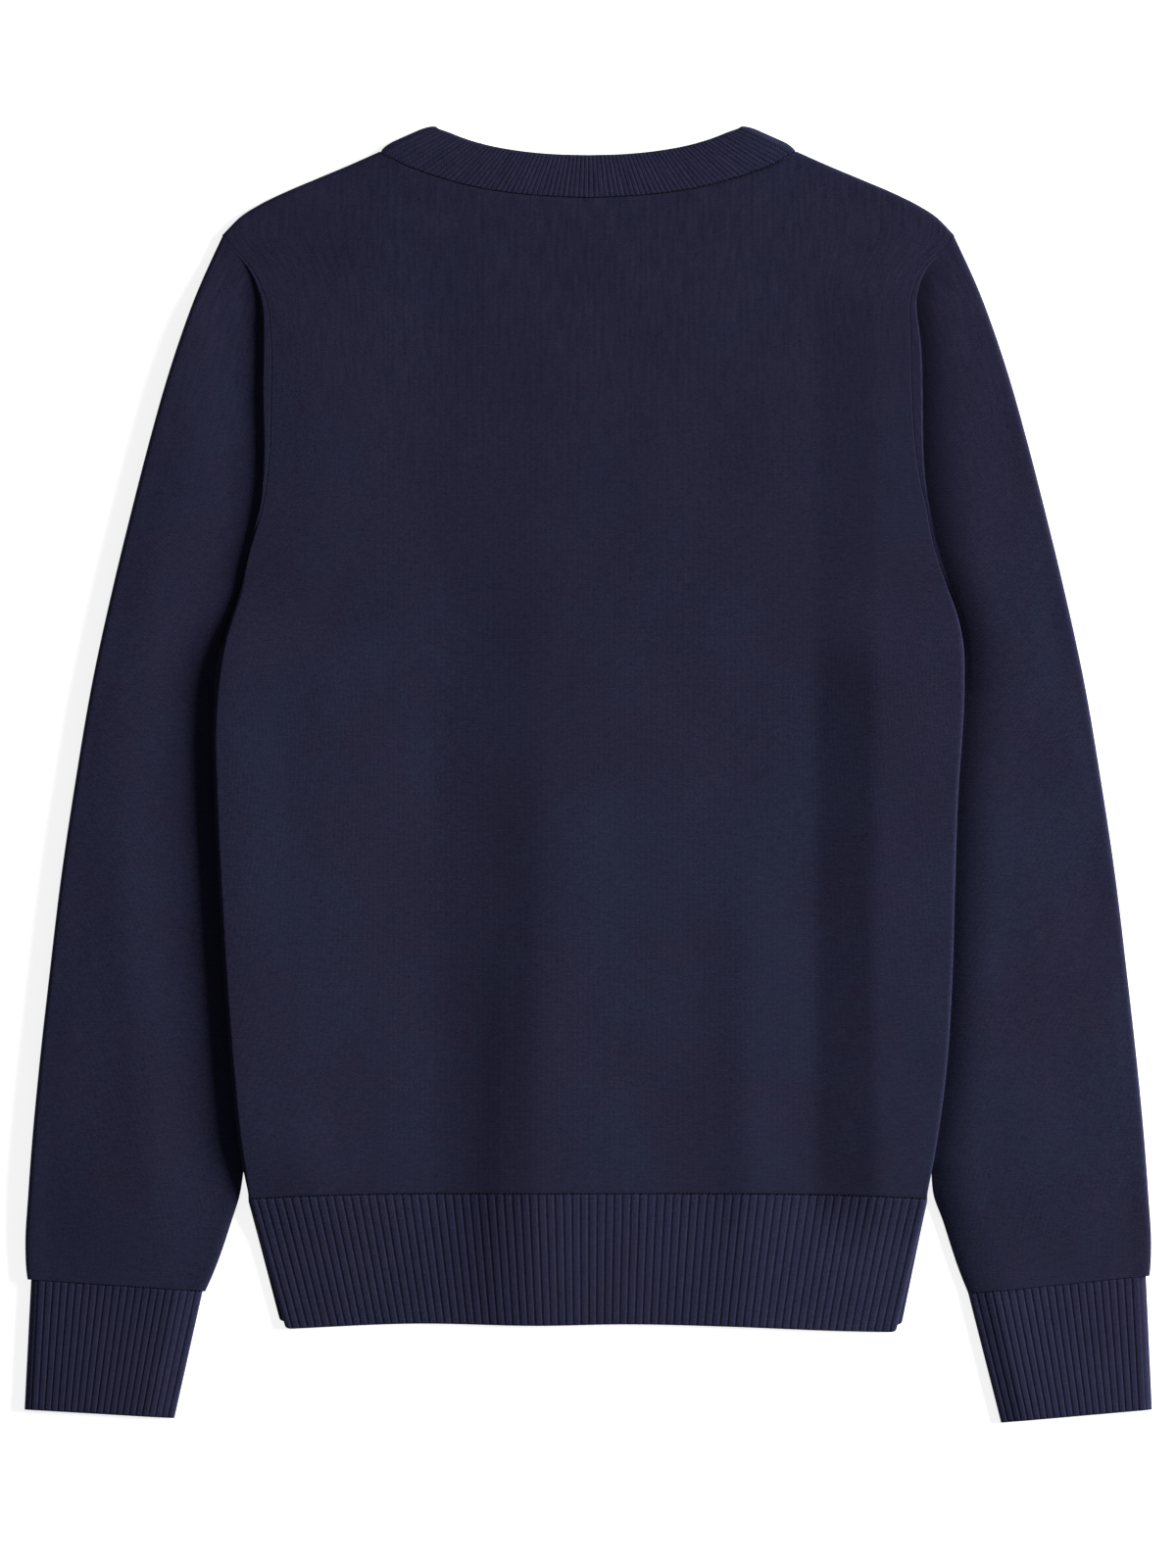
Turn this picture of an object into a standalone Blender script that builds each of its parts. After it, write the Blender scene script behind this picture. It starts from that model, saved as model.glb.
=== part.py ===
"""V-neck sweater laid flat with its back facing up: nine knitted pieces as thin walls.

Sizes are in millimetres and become metres where a mesh is made. +Y runs from hem to neck,
+X to the right as seen from above, and +Z up from the surface that the sweater lies on.
Every piece is a loft: a grid of outer points, a grid of inner points under it, and a rim.
"""
import bpy
import numpy as np

MM = 0.001
OUTLINE_MIDDLE = np.array([0.0, 0.58, 0.0])   # of the sizes below; it becomes the origin
COLLECTION = "v_neck_sweater"

# ---- driving dimensions -------------------------------------------------------------------
WALL = 2.0               # cloth wall
GAP = 0.3                # between pieces at seams and between layers
RIB_RAISE = 0.8          # how far ribs stand above the grooves
HEM_RIBS = 80            # across the back hem
CUFF_RIBS = 22           # on the side of each cuff that shows
NECK_RIBS = 80           # across the back of the neckband
NECKBAND_WIDTH = 24.0
HEM_SEAM_Y = -235.5      # where the hem ribs are linked to the body
SHOULDER_X = 205.0       # shoulder point, from the middle
NECK_X = 117.0           # where neckband and shoulder meet
NECK_Y = 349.0
V_POINT_Y = 150.0            # neckband seam at the point of the V
LAYER_STEP = WALL + GAP      # one layer of cloth and the gap over it
SLEEVE_STACK = 2.0 * LAYER_STEP + 0.2   # lift of the body where it lies on a sleeve
SLEEVE_DOME = 3.6        # how far a sleeve's upper layer stands off its lower one
RAMP = {"left": (75.0, 165.0), "right": (124.0, 165.0)}   # the body rises between these
RAMP_CLEAR = 5.0         # and at least this far inside the sleeve's edge
BODY_LIP_Y = (74.0, 116.0)        # the back's lip fades out here, the sleeves' higher up
LIP_TOP_Y = (238.0, 292.0)
ARMHOLE_LIP = 3.1        # how far the back stands up along the armhole seam
SIDE_BULGE = 0.6         # soft roundness just inside the side folds
UNDERARM_LIFT_Y = (108.0, 50.0)   # the front climbs on to the sleeve between these
HEM_DROP_Y = (-222.0, -268.0)     # and comes down off it between these

# ---- outlines, as tables with a row for each level ----------------------------------------
# Visible side of the body: armhole seam above the underarm, side fold below it.
BODY_SIDE = {
    "y":     (302.0, 296.7, 283.0, 269.0, 242.0, 214.0, 170.0, 148.0, 126.0, 104.0, 90.5,
              76.7, 49.2, 21.7, -5.8, -60.8, -115.8, -170.8, -212.0, -235.5),
    "left":  (205.0, 200.6, 188.6, 181.7, 177.8, 177.8, 179.5, 183.0, 189.5, 194.9, 199.8,
              204.2, 208.9, 210.6, 210.0, 207.5, 204.2, 199.8, 195.2, 190.5),
    "right": (205.0, 200.6, 187.2, 181.3, 180.8, 181.3, 185.0, 189.5, 194.0, 201.5, 206.5,
              209.7, 210.8, 209.6, 207.6, 205.5, 203.9, 200.2, 194.4, 190.0),
}
# Outer fold of a sleeve and its inner edge: armhole seam above the underarm, then the
# underarm seam, which runs in under the body and comes out again just above the hem.
SLEEVE_FOLD = {
    "y": (302.0, 285.7, 272.0, 244.5, 217.0, 189.5, 148.0, 107.0, 52.0, -3.0, -58.0,
          -113.0, -168.0, -209.0, -236.5, -264.3, -278.0, -287.0),
    "x": (205.0, 212.6, 218.6, 228.8, 237.6, 245.3, 256.0, 266.0, 278.0, 287.4, 295.6,
          302.2, 308.3, 312.1, 314.1, 315.7, 315.2, 314.0),
}
SLEEVE_TUCK = {          # how far the underarm seam lies inside the body's side
    "y":  (48.0, 38.0, 20.0, -5.8, -33.0, -60.8, -115.8, -164.0, -194.0, -213.0, -223.0),
    "in": (-0.5, 3.5, 14.0, 28.0, 34.0, 36.0, 35.0, 28.0, 18.0, 6.5, -0.5),
}
SLEEVE_INNER_LOW = {     # visible inner edge between the hem and the cuff seam
    "y":     (-223.0, -236.8, -250.5, -264.3, -278.0, -293.0),
    "left":  (193.4, 195.7, 200.0, 204.4, 209.4, 216.0),
    "right": (192.4, 193.8, 198.8, 203.2, 207.8, 213.8),
}
# Soft ridges of the back: crest from top to bottom, height, and how wide each flank is.
BACK_FOLDS = {
    "x_top":    (-20.0, 86.0, -46.0),
    "x_bottom": (-27.0, 90.0, -50.0),
    "y_top":    (230.0, 0.0, -60.0),
    "y_full":   (-150.0, -190.0, -200.0),
    "height":   (3.3, 1.1, 0.6),
    "flank_left":  (24.0, 14.0, 10.0),
    "flank_right": (90.0, 30.0, 26.0),
    "crest_round": (16.0, 10.0, 5.0),
}
# Neckband seam across the back, and the band's free edge, from the middle outwards.
BACK_NECK_SEAM = {
    "x": (0.0, 30.0, 58.0, 79.0, 97.0, 110.0, 117.0),
    "y": (323.0, 324.5, 328.0, 333.0, 339.0, 344.5, 349.0),
}
BACK_NECK_EDGE = {
    "x": (0.0, 20.0, 40.0, 58.0, 70.0, 78.0, 85.0),
    "y": (347.0, 347.6, 349.6, 353.0, 356.6, 359.8, 363.2),
}
SHOULDER_LINE = {
    "x": (117.0, 134.0, 153.5, 171.0, 185.0, 195.0, 205.0),
    "y": (349.0, 341.4, 333.2, 325.7, 318.7, 312.2, 302.0),
}
# Hem edge and cuffs: corners as (x, y), measured from the middle of the sweater.
HEM_BOTTOM = {"x": (-170.2, -100.0, -26.0, 20.0, 80.0, 140.0, 173.0),
              "y": (-311.5, -308.5, -309.6, -308.8, -310.2, -312.6, -313.4)}
HEM_BOTTOM_HALF = {"left": 170.2, "right": 173.0}
CUFFS = {
    "left":  {"seam_out": (312.5, -283.5), "seam_in": (216.4, -290.4),
              "end_out": (316.2, -356.6), "end_in": (232.2, -361.5)},
    "right": {"seam_out": (312.8, -281.5), "seam_in": (213.2, -291.6),
              "end_out": (316.2, -356.6), "end_in": (231.6, -364.0)},
}
CUFF_HEIGHT = 6.0        # outside height of a cuff lying flat

# ---- finishes -----------------------------------------------------------------------------
NAVY_KNIT = (0.0185, 0.0195, 0.040, 1.0)
NAVY_RIB = (0.0165, 0.0175, 0.037, 1.0)
ROUGHNESS = 0.92


def rounded_step(value, start, end):
    """0 before start, 1 past end, smooth between them; start may be above end."""
    t = np.clip((np.asarray(value, float) - start) / (end - start), 0.0, 1.0)
    return t * t * (3.0 - 2.0 * t)


def even_step(value, start, end):
    """0 before start, 1 past end: straight between them but for rounded ends."""
    t = np.clip((np.asarray(value, float) - start) / (end - start), 0.0, 1.0)
    low, high = np.minimum(t, 0.2), np.maximum(t - 0.8, 0.0)
    return (low ** 2 / 0.4 + np.clip(t - 0.2, 0.0, 0.6) + high - high ** 2 / 0.4) / 0.8


def through(where, table, across, down):
    """Smooth curve through a table's rows: cubic pieces whose slopes are taken from the
    rows on either side."""
    xs = np.asarray(table[across], float)
    ys = np.asarray(table[down], float)
    order = np.argsort(xs)
    xs, ys = xs[order], ys[order]
    slopes = np.gradient(ys, xs)
    where = np.clip(np.asarray(where, float), xs[0], xs[-1])
    i = np.clip(np.searchsorted(xs, where) - 1, 0, len(xs) - 2)
    span = xs[i + 1] - xs[i]
    t = (where - xs[i]) / span
    return ((2 * t ** 3 - 3 * t ** 2 + 1) * ys[i] + (t ** 3 - 2 * t ** 2 + t) * span * slopes[i]
            + (3 * t ** 2 - 2 * t ** 3) * ys[i + 1] + (t ** 3 - t ** 2) * span * slopes[i + 1])


def body_half(y, side):
    """Half width of the body at a level, on one side."""
    return through(y, BODY_SIDE, "y", side)


def sleeve_inner(y, side):
    """Distance of a sleeve's inner edge from the middle at a level."""
    beside = body_half(y, side) + GAP
    under = body_half(y, side) - through(y, SLEEVE_TUCK, "y", "in")
    low = through(y, SLEEVE_INNER_LOW, "y", side)
    tucked = (y < SLEEVE_TUCK["y"][0]) & (y > SLEEVE_TUCK["y"][-1])
    edge = np.where(tucked, np.minimum(under, beside + 0.2), beside)
    return np.where(y <= SLEEVE_TUCK["y"][-1], np.maximum(low, beside + 0.2), edge)


def by_side(x, y, function):
    """function(level, side) on each point's own half of the sweater."""
    return np.where(x < 0.0, function(y, "left"), function(y, "right"))


def side_ramp(x, y):
    """The body's climb from its middle to its sides, 0 to 1."""
    def one_side(level, side):
        start, end = RAMP[side]
        return even_step(np.abs(x), start, np.minimum(sleeve_inner(level, side) - RAMP_CLEAR, end))
    return by_side(x, y, one_side)


def front_lift(x, y):
    """How far the front panel is lifted off the surface by the sleeve under its side."""
    along = rounded_step(y, *UNDERARM_LIFT_Y) * (1.0 - rounded_step(y, *HEM_DROP_Y))
    return SLEEVE_STACK * side_ramp(x, y) * along


def ridge(s, flank_left, flank_right, crest_round):
    """A soft ridge: steepest beside its rounded crest, with unlike flanks."""
    q = np.sqrt(s * s + crest_round ** 2) - crest_round
    return np.exp(-q / np.where(s < 0.0, flank_left, flank_right))


def fold_lift(x, y):
    """Sum of the back's folds at each point."""
    lift = np.zeros_like(x)
    for x_top, x_bottom, y_top, y_full, height, *form in zip(*BACK_FOLDS.values()):
        down = (y_top - y) / (y_top - HEM_SEAM_Y)
        crest = x_top + (x_bottom - x_top) * down
        lift += height * rounded_step(y, y_top, y_full) * ridge(x - crest, *form)
    return np.minimum(lift, 3.6)


def back_puff(x, y, top):
    """How far the back panel stands off the front panel, besides the gap between them."""
    inside = by_side(x, y, body_half) - np.abs(x)
    armhole = rounded_step(y, *BODY_LIP_Y) * (1.0 - rounded_step(y, *LIP_TOP_Y))
    lip = ARMHOLE_LIP * side_ramp(x, y) * armhole
    side = SIDE_BULGE * (inside / 15.0) * np.exp(1.0 - inside / 15.0)
    side *= 1.0 - rounded_step(y, *BODY_LIP_Y)
    folds = fold_lift(x, y) * rounded_step(inside, 0.0, 30.0)
    return np.clip((lip + side + folds) * rounded_step(top - y, 0.0, 22.0), 0.0, 3.65)


def back_wall(inside):
    """The back's thickness, thinned where it rounds over at the side fold."""
    return WALL - 0.9 * (1.0 - rounded_step(inside, 0.0, 5.0))


# ---- turning grids into solids --------------------------------------------------------------

def grid_faces(first, columns, rows, closed, flip):
    """Triangles of a grid of points stored row by row from index first. Every grid is cut
    along the same diagonal, so that layers which share their rows nest."""
    faces = []
    across = columns if closed else columns - 1
    for r in range(rows - 1):
        for c in range(across):
            a = first + r * columns + c
            b = first + r * columns + (c + 1) % columns
            a_up, b_up = a + columns, b + columns
            for face in ((a, b, b_up), (a, b_up, a_up)):
                faces.append(face[::-1] if flip else face)
    return faces


def solid(name, outer, inner, finish, closed=False):
    """A wall between two grids of points (rows, columns, 3). With closed the rows are
    rings and only the first and last row get a rim."""
    rows, columns, _ = outer.shape
    count = rows * columns
    points = np.concatenate([outer.reshape(-1, 3), inner.reshape(-1, 3)])
    points = (points - OUTLINE_MIDDLE) * MM
    faces = grid_faces(0, columns, rows, closed, False) + grid_faces(count, columns, rows, closed, True)
    last = (rows - 1) * columns
    for c in range(columns if closed else columns - 1):
        d = (c + 1) % columns
        faces.append((d, c, count + c, count + d))
        faces.append((last + c, last + d, count + last + d, count + last + c))
    if not closed:
        for r in range(rows - 1):
            a, b = r * columns, (r + 1) * columns
            faces.append((a, b, count + b, count + a))
            a, b = a + columns - 1, b + columns - 1
            faces.append((b, a, count + a, count + b))
    mesh = bpy.data.meshes.new(name)
    mesh.from_pydata(points.tolist(), [], faces)
    mesh.update()
    mesh.shade_smooth()
    mesh.set_sharp_from_angle(angle=np.radians(50.0))
    mesh.materials.append(finish)
    obj = bpy.data.objects.new(name, mesh)
    bpy.data.collections[COLLECTION].objects.link(obj)
    return obj


def knit_finish(name, colour):
    """A matt woollen finish for one piece."""
    material = bpy.data.materials.new(name)
    material.use_nodes = True
    shader = material.node_tree.nodes["Principled BSDF"]
    shader.inputs["Base Color"].default_value = colour
    shader.inputs["Roughness"].default_value = ROUGHNESS
    shader.inputs["Metallic"].default_value = 0.0
    return material


def stack(x, y, z):
    """Three arrays of one shape as a grid of points."""
    return np.stack(np.broadcast_arrays(x, y, z), axis=-1).astype(float)


def spread(count, edge_bias=0.0):
    """Numbers from -1 to 1, closer together near both ends as edge_bias grows to 1."""
    t = np.linspace(-1.0, 1.0, count)
    return (1.0 - edge_bias) * t + edge_bias * np.sin(t * np.pi / 2.0)


# ---- the pieces -----------------------------------------------------------------------------
EDGE_STEPS = (0.0, 2.5, 7.0, 15.0, 27.0, 43.0, 63.0)   # columns in from a side, at the shoulder
NECK_COLUMNS = 17
CHEST_Y = 124.0          # rows below this are the same in front and back, so they nest
LOW_ROWS = (-235.0, -212.0, -188.0, -155.0, -118.0, -80.0, -42.0, -8.0, 22.0, 46.0, 64.0,
            84.0, 104.0, CHEST_Y)
HIGH_ROWS = (0.13, 0.27, 0.42, 0.57, 0.71, 0.83, 0.92, 0.97, 1.0)
HEM_SEAM_DROOP = 3.0     # the hem seam hangs this much lower at the sides
FRONT_HEM_OUT = 3.2      # the front hem's corners show this far beyond the back's
FRONT_HEM_UP = 4.0


def panel_columns():
    """Column positions from -1 to 1, with one on each end of the neck seam."""
    sides = 1.0 - np.array(EDGE_STEPS) / SHOULDER_X
    neck = np.linspace(-NECK_X, NECK_X, NECK_COLUMNS) / SHOULDER_X
    return np.concatenate([-sides, neck, sides[::-1]])


def hem_seam(u):
    """Level of the hem seam at a column."""
    return HEM_SEAM_Y - HEM_SEAM_DROOP * np.abs(u) ** 4


def neck_seam(x):
    """Level of the neckband seam across the back, straight between the panel's columns."""
    corners = np.linspace(0.0, NECK_X, NECK_COLUMNS // 2 + 1)
    return np.interp(np.abs(x), corners, through(corners, BACK_NECK_SEAM, "x", "y"))


def back_top(x):
    """Upper edge of the back: shoulder line, then neck seam."""
    neck = neck_seam(x) - GAP
    shoulder = through(np.abs(x), SHOULDER_LINE, "x", "y")
    return np.where(np.abs(x) < NECK_X - 0.01, neck, shoulder - GAP)


def front_top(x):
    """Upper edge of the front: shoulder line, then down to the point of the V."""
    v_edge = V_POINT_Y + (NECK_Y - V_POINT_Y) * np.abs(x) / NECK_X
    shoulder = through(np.abs(x), SHOULDER_LINE, "x", "y")
    return np.where(np.abs(x) < NECK_X - 0.01, v_edge - 2.0 * GAP, shoulder - GAP)


def panel_grid(top_edge):
    """x, y and the upper edge's level for each point of a body panel."""
    u = panel_columns()[None, :]
    top = top_edge(u * SHOULDER_X)
    low = np.array(LOW_ROWS)[:, None] + 0.0 * u
    low[0] = hem_seam(u[0])
    high = CHEST_Y + (top - CHEST_Y) * np.array(HIGH_ROWS)[:, None]
    y = np.concatenate([low, high])
    beside_neck = np.clip((np.abs(u) * SHOULDER_X - NECK_X) / (SHOULDER_X - NECK_X), 0.0, 1.0)
    narrowing = SHOULDER_X - by_side(u + 0.0 * y, y, body_half)
    x = u * SHOULDER_X - np.sign(u) * narrowing * beside_neck
    return x, y, top


def back_lower(x, y, top):
    """Height of the back panel's inner side."""
    return front_lift(x, y) + LAYER_STEP + back_puff(x, y, top)


def make_back_panel(finish):
    """The back: one panel over the front, with its folds."""
    x, y, top = panel_grid(back_top)
    lower = back_lower(x, y, top)
    inside = by_side(x, y, body_half) - np.abs(x)
    side_fold = 1.0 - rounded_step(y, *BODY_LIP_Y)
    wall = WALL + (back_wall(inside) - WALL) * side_fold
    wall = np.where((np.abs(x) > NECK_X) & (y > top - 0.5), np.minimum(wall, WALL - 0.7), wall)
    return solid("back_panel", stack(x, y, lower + wall), stack(x, y, lower), finish)


def make_front_panel(finish):
    """The front with its V neck, lying on the surface and over the tucked sleeves."""
    x, y, _ = panel_grid(front_top)
    lift = front_lift(x, y)
    return solid("front_panel", stack(x, y, lift + WALL), stack(x, y, lift), finish)


def hem_grid(u, v, out, up):
    """x, y and the upper edge's half width for a hem band, its lower edge moved out and up."""
    bottom_half = by_side(u, 0.0 * u, lambda _, side: HEM_BOTTOM_HALF[side] + 0.0 * u)
    top_half = by_side(u, HEM_SEAM_Y + 0.0 * u, body_half)
    low = through(u * bottom_half, HEM_BOTTOM, "x", "y") + up
    low_half = bottom_half + out
    x = u * (low_half + (top_half - low_half) * v)
    return x, low + (hem_seam(u) - GAP - low) * v, top_half


def make_hem_band_back(finish):
    """Ribbed band under the back: three columns to a rib, groove and two shoulders."""
    u, rib = rib_columns(HEM_RIBS)
    v = np.array([0.0, 0.5, 1.0])[:, None]
    x, y, top_half = hem_grid(u, v, 0.0, 0.0)
    lower = hem_back_lower(x, y, v, top_half)
    raised = WALL - 0.6 + RIB_RAISE * rib[None, :]
    edge = np.abs(u)[None, :] > 0.999
    return solid("hem_band_back", stack(x, y, lower + np.where(edge, 1.0, raised)),
                 stack(x, y, lower), finish)


def hem_back_lower(x, y, v, half):
    """Height of the back hem's inner side: the body's folds fade towards the edge."""
    inside = half - np.abs(x)
    folds = fold_lift(x, HEM_SEAM_Y + 0.0 * y) * rounded_step(inside, 0.0, 30.0)
    return front_lift(x, y) + LAYER_STEP + folds * (0.45 + 0.55 * v)


def make_hem_band_front(finish):
    """Plain inside view of the front's ribbed band, a little wider than the back's."""
    v = np.array([0.0, 0.35, 0.7, 1.0])[:, None]
    x, y, _ = hem_grid(spread(25, 0.6), v, FRONT_HEM_OUT, FRONT_HEM_UP)
    lift = front_lift(x, y)
    return solid("hem_band_front", stack(x, y, lift + WALL), stack(x, y, lift), finish)


def rib_columns(ribs):
    """Columns from -1 to 1 for a row of ribs, and how raised each one is."""
    edges = np.linspace(-1.0, 1.0, ribs + 1)
    pitch = edges[1] - edges[0]
    columns = np.concatenate([edges[:-1, None], edges[:-1, None] + 0.26 * pitch,
                              edges[:-1, None] + 0.74 * pitch], axis=1).ravel()
    raised = np.tile([0.0, 1.0, 1.0], ribs)
    return np.append(columns, 1.0), np.append(raised, 0.0)


SLEEVE_UPPER = (0.0, 0.045, 0.085, 0.13, 0.18, 0.24, 0.32, 0.42, 0.54, 0.68, 0.84, 1.0)
SLEEVE_LOWER = (1.0, 0.8, 0.55, 0.28, 0.0)
FOLD_ANGLES = np.radians((30.0, 65.0, 115.0, 150.0))
SLEEVE_TOP_TILT = 4.6     # a sleeve's fold starts this much above the end of its seam
BELOW_HEM_ROWS = 4        # a sleeve's other rows are the back panel's, so its edge fits
VALLEY_Y = (110.0, 225.0)   # a sleeve's section changes from low to high between these
VALLEY = {   # where the lip falls, then where the rise to the crest starts and how long it is
    "left": {"lip_y": (100.0, 150.0), "fall": (3.5, 7.5), "low": (4.0, 55.0),
             "high": (8.0, 50.0)},
    "right": {"lip_y": (140.0, 190.0), "fall": (5.0, 9.0), "low": (6.0, 14.0),
              "high": (9.0, 8.0)},
}


def sleeve_upper(x, y, inner, side):
    """Height of the inner side of a sleeve's upper layer: lip, valley, then crest."""
    valley = VALLEY[side]
    armhole = rounded_step(y, *valley["lip_y"]) * (1.0 - rounded_step(y, *LIP_TOP_Y))
    high = rounded_step(y, *VALLEY_Y)
    near, far = (reach * np.maximum(high, 0.25) for reach in valley["fall"])
    lip = ARMHOLE_LIP * (1.0 - rounded_step(x - inner, near, far)) * armhole
    away, rise = (a + (b - a) * high for a, b in zip(valley["low"], valley["high"]))
    width = through(y, SLEEVE_FOLD, "y", "x") - inner
    start = np.maximum(body_half(y, side) + away * rounded_step(width, 20.0, 70.0), inner + 2.0)
    crest = SLEEVE_DOME * (1.0 - 0.45 * rounded_step(y, -220.0, -283.0))
    dome = crest * rounded_step(x, start, start + rise) * rounded_step(width, 8.0, 50.0)
    return LAYER_STEP + np.maximum(lip, dome)


def flat_tube(inner, outer, upper_inner, upper_outer):
    """Outer and inner points of a flattened tube's section, opened along its seam: the
    upper layer from seam to fold, a half ellipse round the fold, and the lower layer
    back. inner and outer are columns of distances, upper_* are functions of distance."""
    turn = np.minimum(5.0, 0.4 * (outer - inner))
    flat_end = outer - turn
    over = inner + (flat_end - inner) * np.array(SLEEVE_UPPER)[None, :]
    under = inner + (flat_end - inner) * np.array(SLEEVE_LOWER)[None, :]
    sin, cos = np.sin(FOLD_ANGLES)[None, :], np.cos(FOLD_ANGLES)[None, :]
    top_out = upper_outer(flat_end)
    top_in = upper_inner(flat_end)
    round_out = (flat_end + turn * sin, top_out / 2.0 * (1.0 + cos))
    reach_in = np.maximum(turn - WALL, 0.3)
    middle = (top_in + WALL) / 2.0
    round_in = (flat_end + reach_in * sin, middle + (top_in - WALL) / 2.0 * cos)
    outer_points = (np.hstack([over, round_out[0], under]),
                    np.hstack([upper_outer(over), round_out[1], 0.0 * under]))
    inner_points = (np.hstack([over, round_in[0], under]),
                    np.hstack([upper_inner(over), round_in[1], 0.0 * under + WALL]))
    return outer_points, inner_points


def make_sleeve(side, finish):
    """One sleeve: a sheet folded along its outer edge, its two long edges meeting at the
    armhole and underarm seams."""
    sign = -1.0 if side == "left" else 1.0
    cuff = CUFFS[side]
    tilt = cuff["seam_out"][1] - cuff["seam_in"][1]
    below = np.linspace(cuff["seam_out"][1], LOW_ROWS[0], BELOW_HEM_ROWS)
    beside = CHEST_Y + (back_top(SHOULDER_X) - CHEST_Y) * np.array(HIGH_ROWS[:-1])
    fold_y = np.concatenate([below, LOW_ROWS[1:], beside])[:, None]
    seam_y = fold_y - tilt * rounded_step(fold_y, -205.0, fold_y[0, 0])
    fold_y = fold_y + SLEEVE_TOP_TILT * rounded_step(fold_y, 262.0, fold_y[-1, 0])
    inner = sleeve_inner(seam_y, side)
    outer = through(fold_y, SLEEVE_FOLD, "y", "x")

    def level(x):
        """Point's level on a row that slants from the fold down to the seam."""
        return seam_y + (fold_y - seam_y) * (x - inner) / (outer - inner)

    def upper_inner(x):
        """Inner side of the upper layer."""
        return sleeve_upper(x, level(x), inner, side)

    def upper_outer(x):
        """Outer side, thinned where it rounds over at the underarm seam."""
        round_over = 0.9 * (1.0 - rounded_step(x, inner, inner + 5.0))
        below = 1.0 - rounded_step(level(x), 96.0, 120.0)
        return upper_inner(x) + WALL - round_over * below

    outside, inside = flat_tube(inner, outer, upper_inner, upper_outer)
    grids = [stack(sign * x, level(x), z) for x, z in (outside, inside)]
    if side == "left":
        grids = [grid[:, ::-1] for grid in grids]
    return solid("sleeve_" + side, *grids, finish)


def make_cuff(side, finish):
    """One ribbed cuff: ribs on the side that shows, folded round to a plain underside."""
    sign = -1.0 if side == "left" else 1.0
    corners = {name: np.array(point) for name, point in CUFFS[side].items()}
    for name in ("seam_out", "seam_in"):
        corners[name] = corners[name] - np.array([0.0, GAP])
    v = np.array([0.0, 0.5, 1.0])[:, None]
    outer_end = corners["end_out"] + (corners["seam_out"] - corners["end_out"]) * v
    inner_end = corners["end_in"] + (corners["seam_in"] - corners["end_in"]) * v
    width = np.linalg.norm(outer_end - inner_end, axis=1)[:, None]
    turn = 4.0
    u, rib = rib_columns(CUFF_RIBS)
    over = (u[None, :] + 1.0) / 2.0 * (width - turn)
    swell = (CUFF_HEIGHT - WALL - LAYER_STEP) * rounded_step(over, 0.0, 16.0)
    upper = LAYER_STEP + swell
    edge = 0.6 * (1.0 - rounded_step(over, 0.0, 4.0))
    top = upper + WALL - 0.6 + RIB_RAISE * rib[None, :] - edge
    sin, cos = np.sin(FOLD_ANGLES)[None, :], np.cos(FOLD_ANGLES)[None, :]
    under = np.array([1.0, 0.66, 0.33, 0.0])[None, :] * (width - turn)
    end_top, end_upper = top[:, -1:], upper[:, -1:]
    outside = (np.hstack([over, width - turn + turn * sin, under]),
               np.hstack([top, end_top / 2.0 * (1.0 + cos), 0.0 * under]))
    inside = (np.hstack([over, width - turn + (turn - WALL) * sin, under]),
              np.hstack([upper, (end_upper + WALL) / 2.0 + (end_upper - WALL) / 2.0 * cos,
                         0.0 * under + WALL]))

    grids = []
    for reach, z in (outside, inside):
        share = reach / width
        x = inner_end[:, :1] + (outer_end[:, :1] - inner_end[:, :1]) * share
        y = inner_end[:, 1:] + (outer_end[:, 1:] - inner_end[:, 1:]) * share
        grids.append(stack(sign * x, y, z))
    if side == "left":
        grids = [grid[:, ::-1] for grid in grids]
    return solid("cuff_" + side, *grids, finish)


NECK_TURN_ANGLES = np.radians((30.0, 60.0, 90.0, 120.0, 150.0))
V_STATIONS = 17


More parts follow.
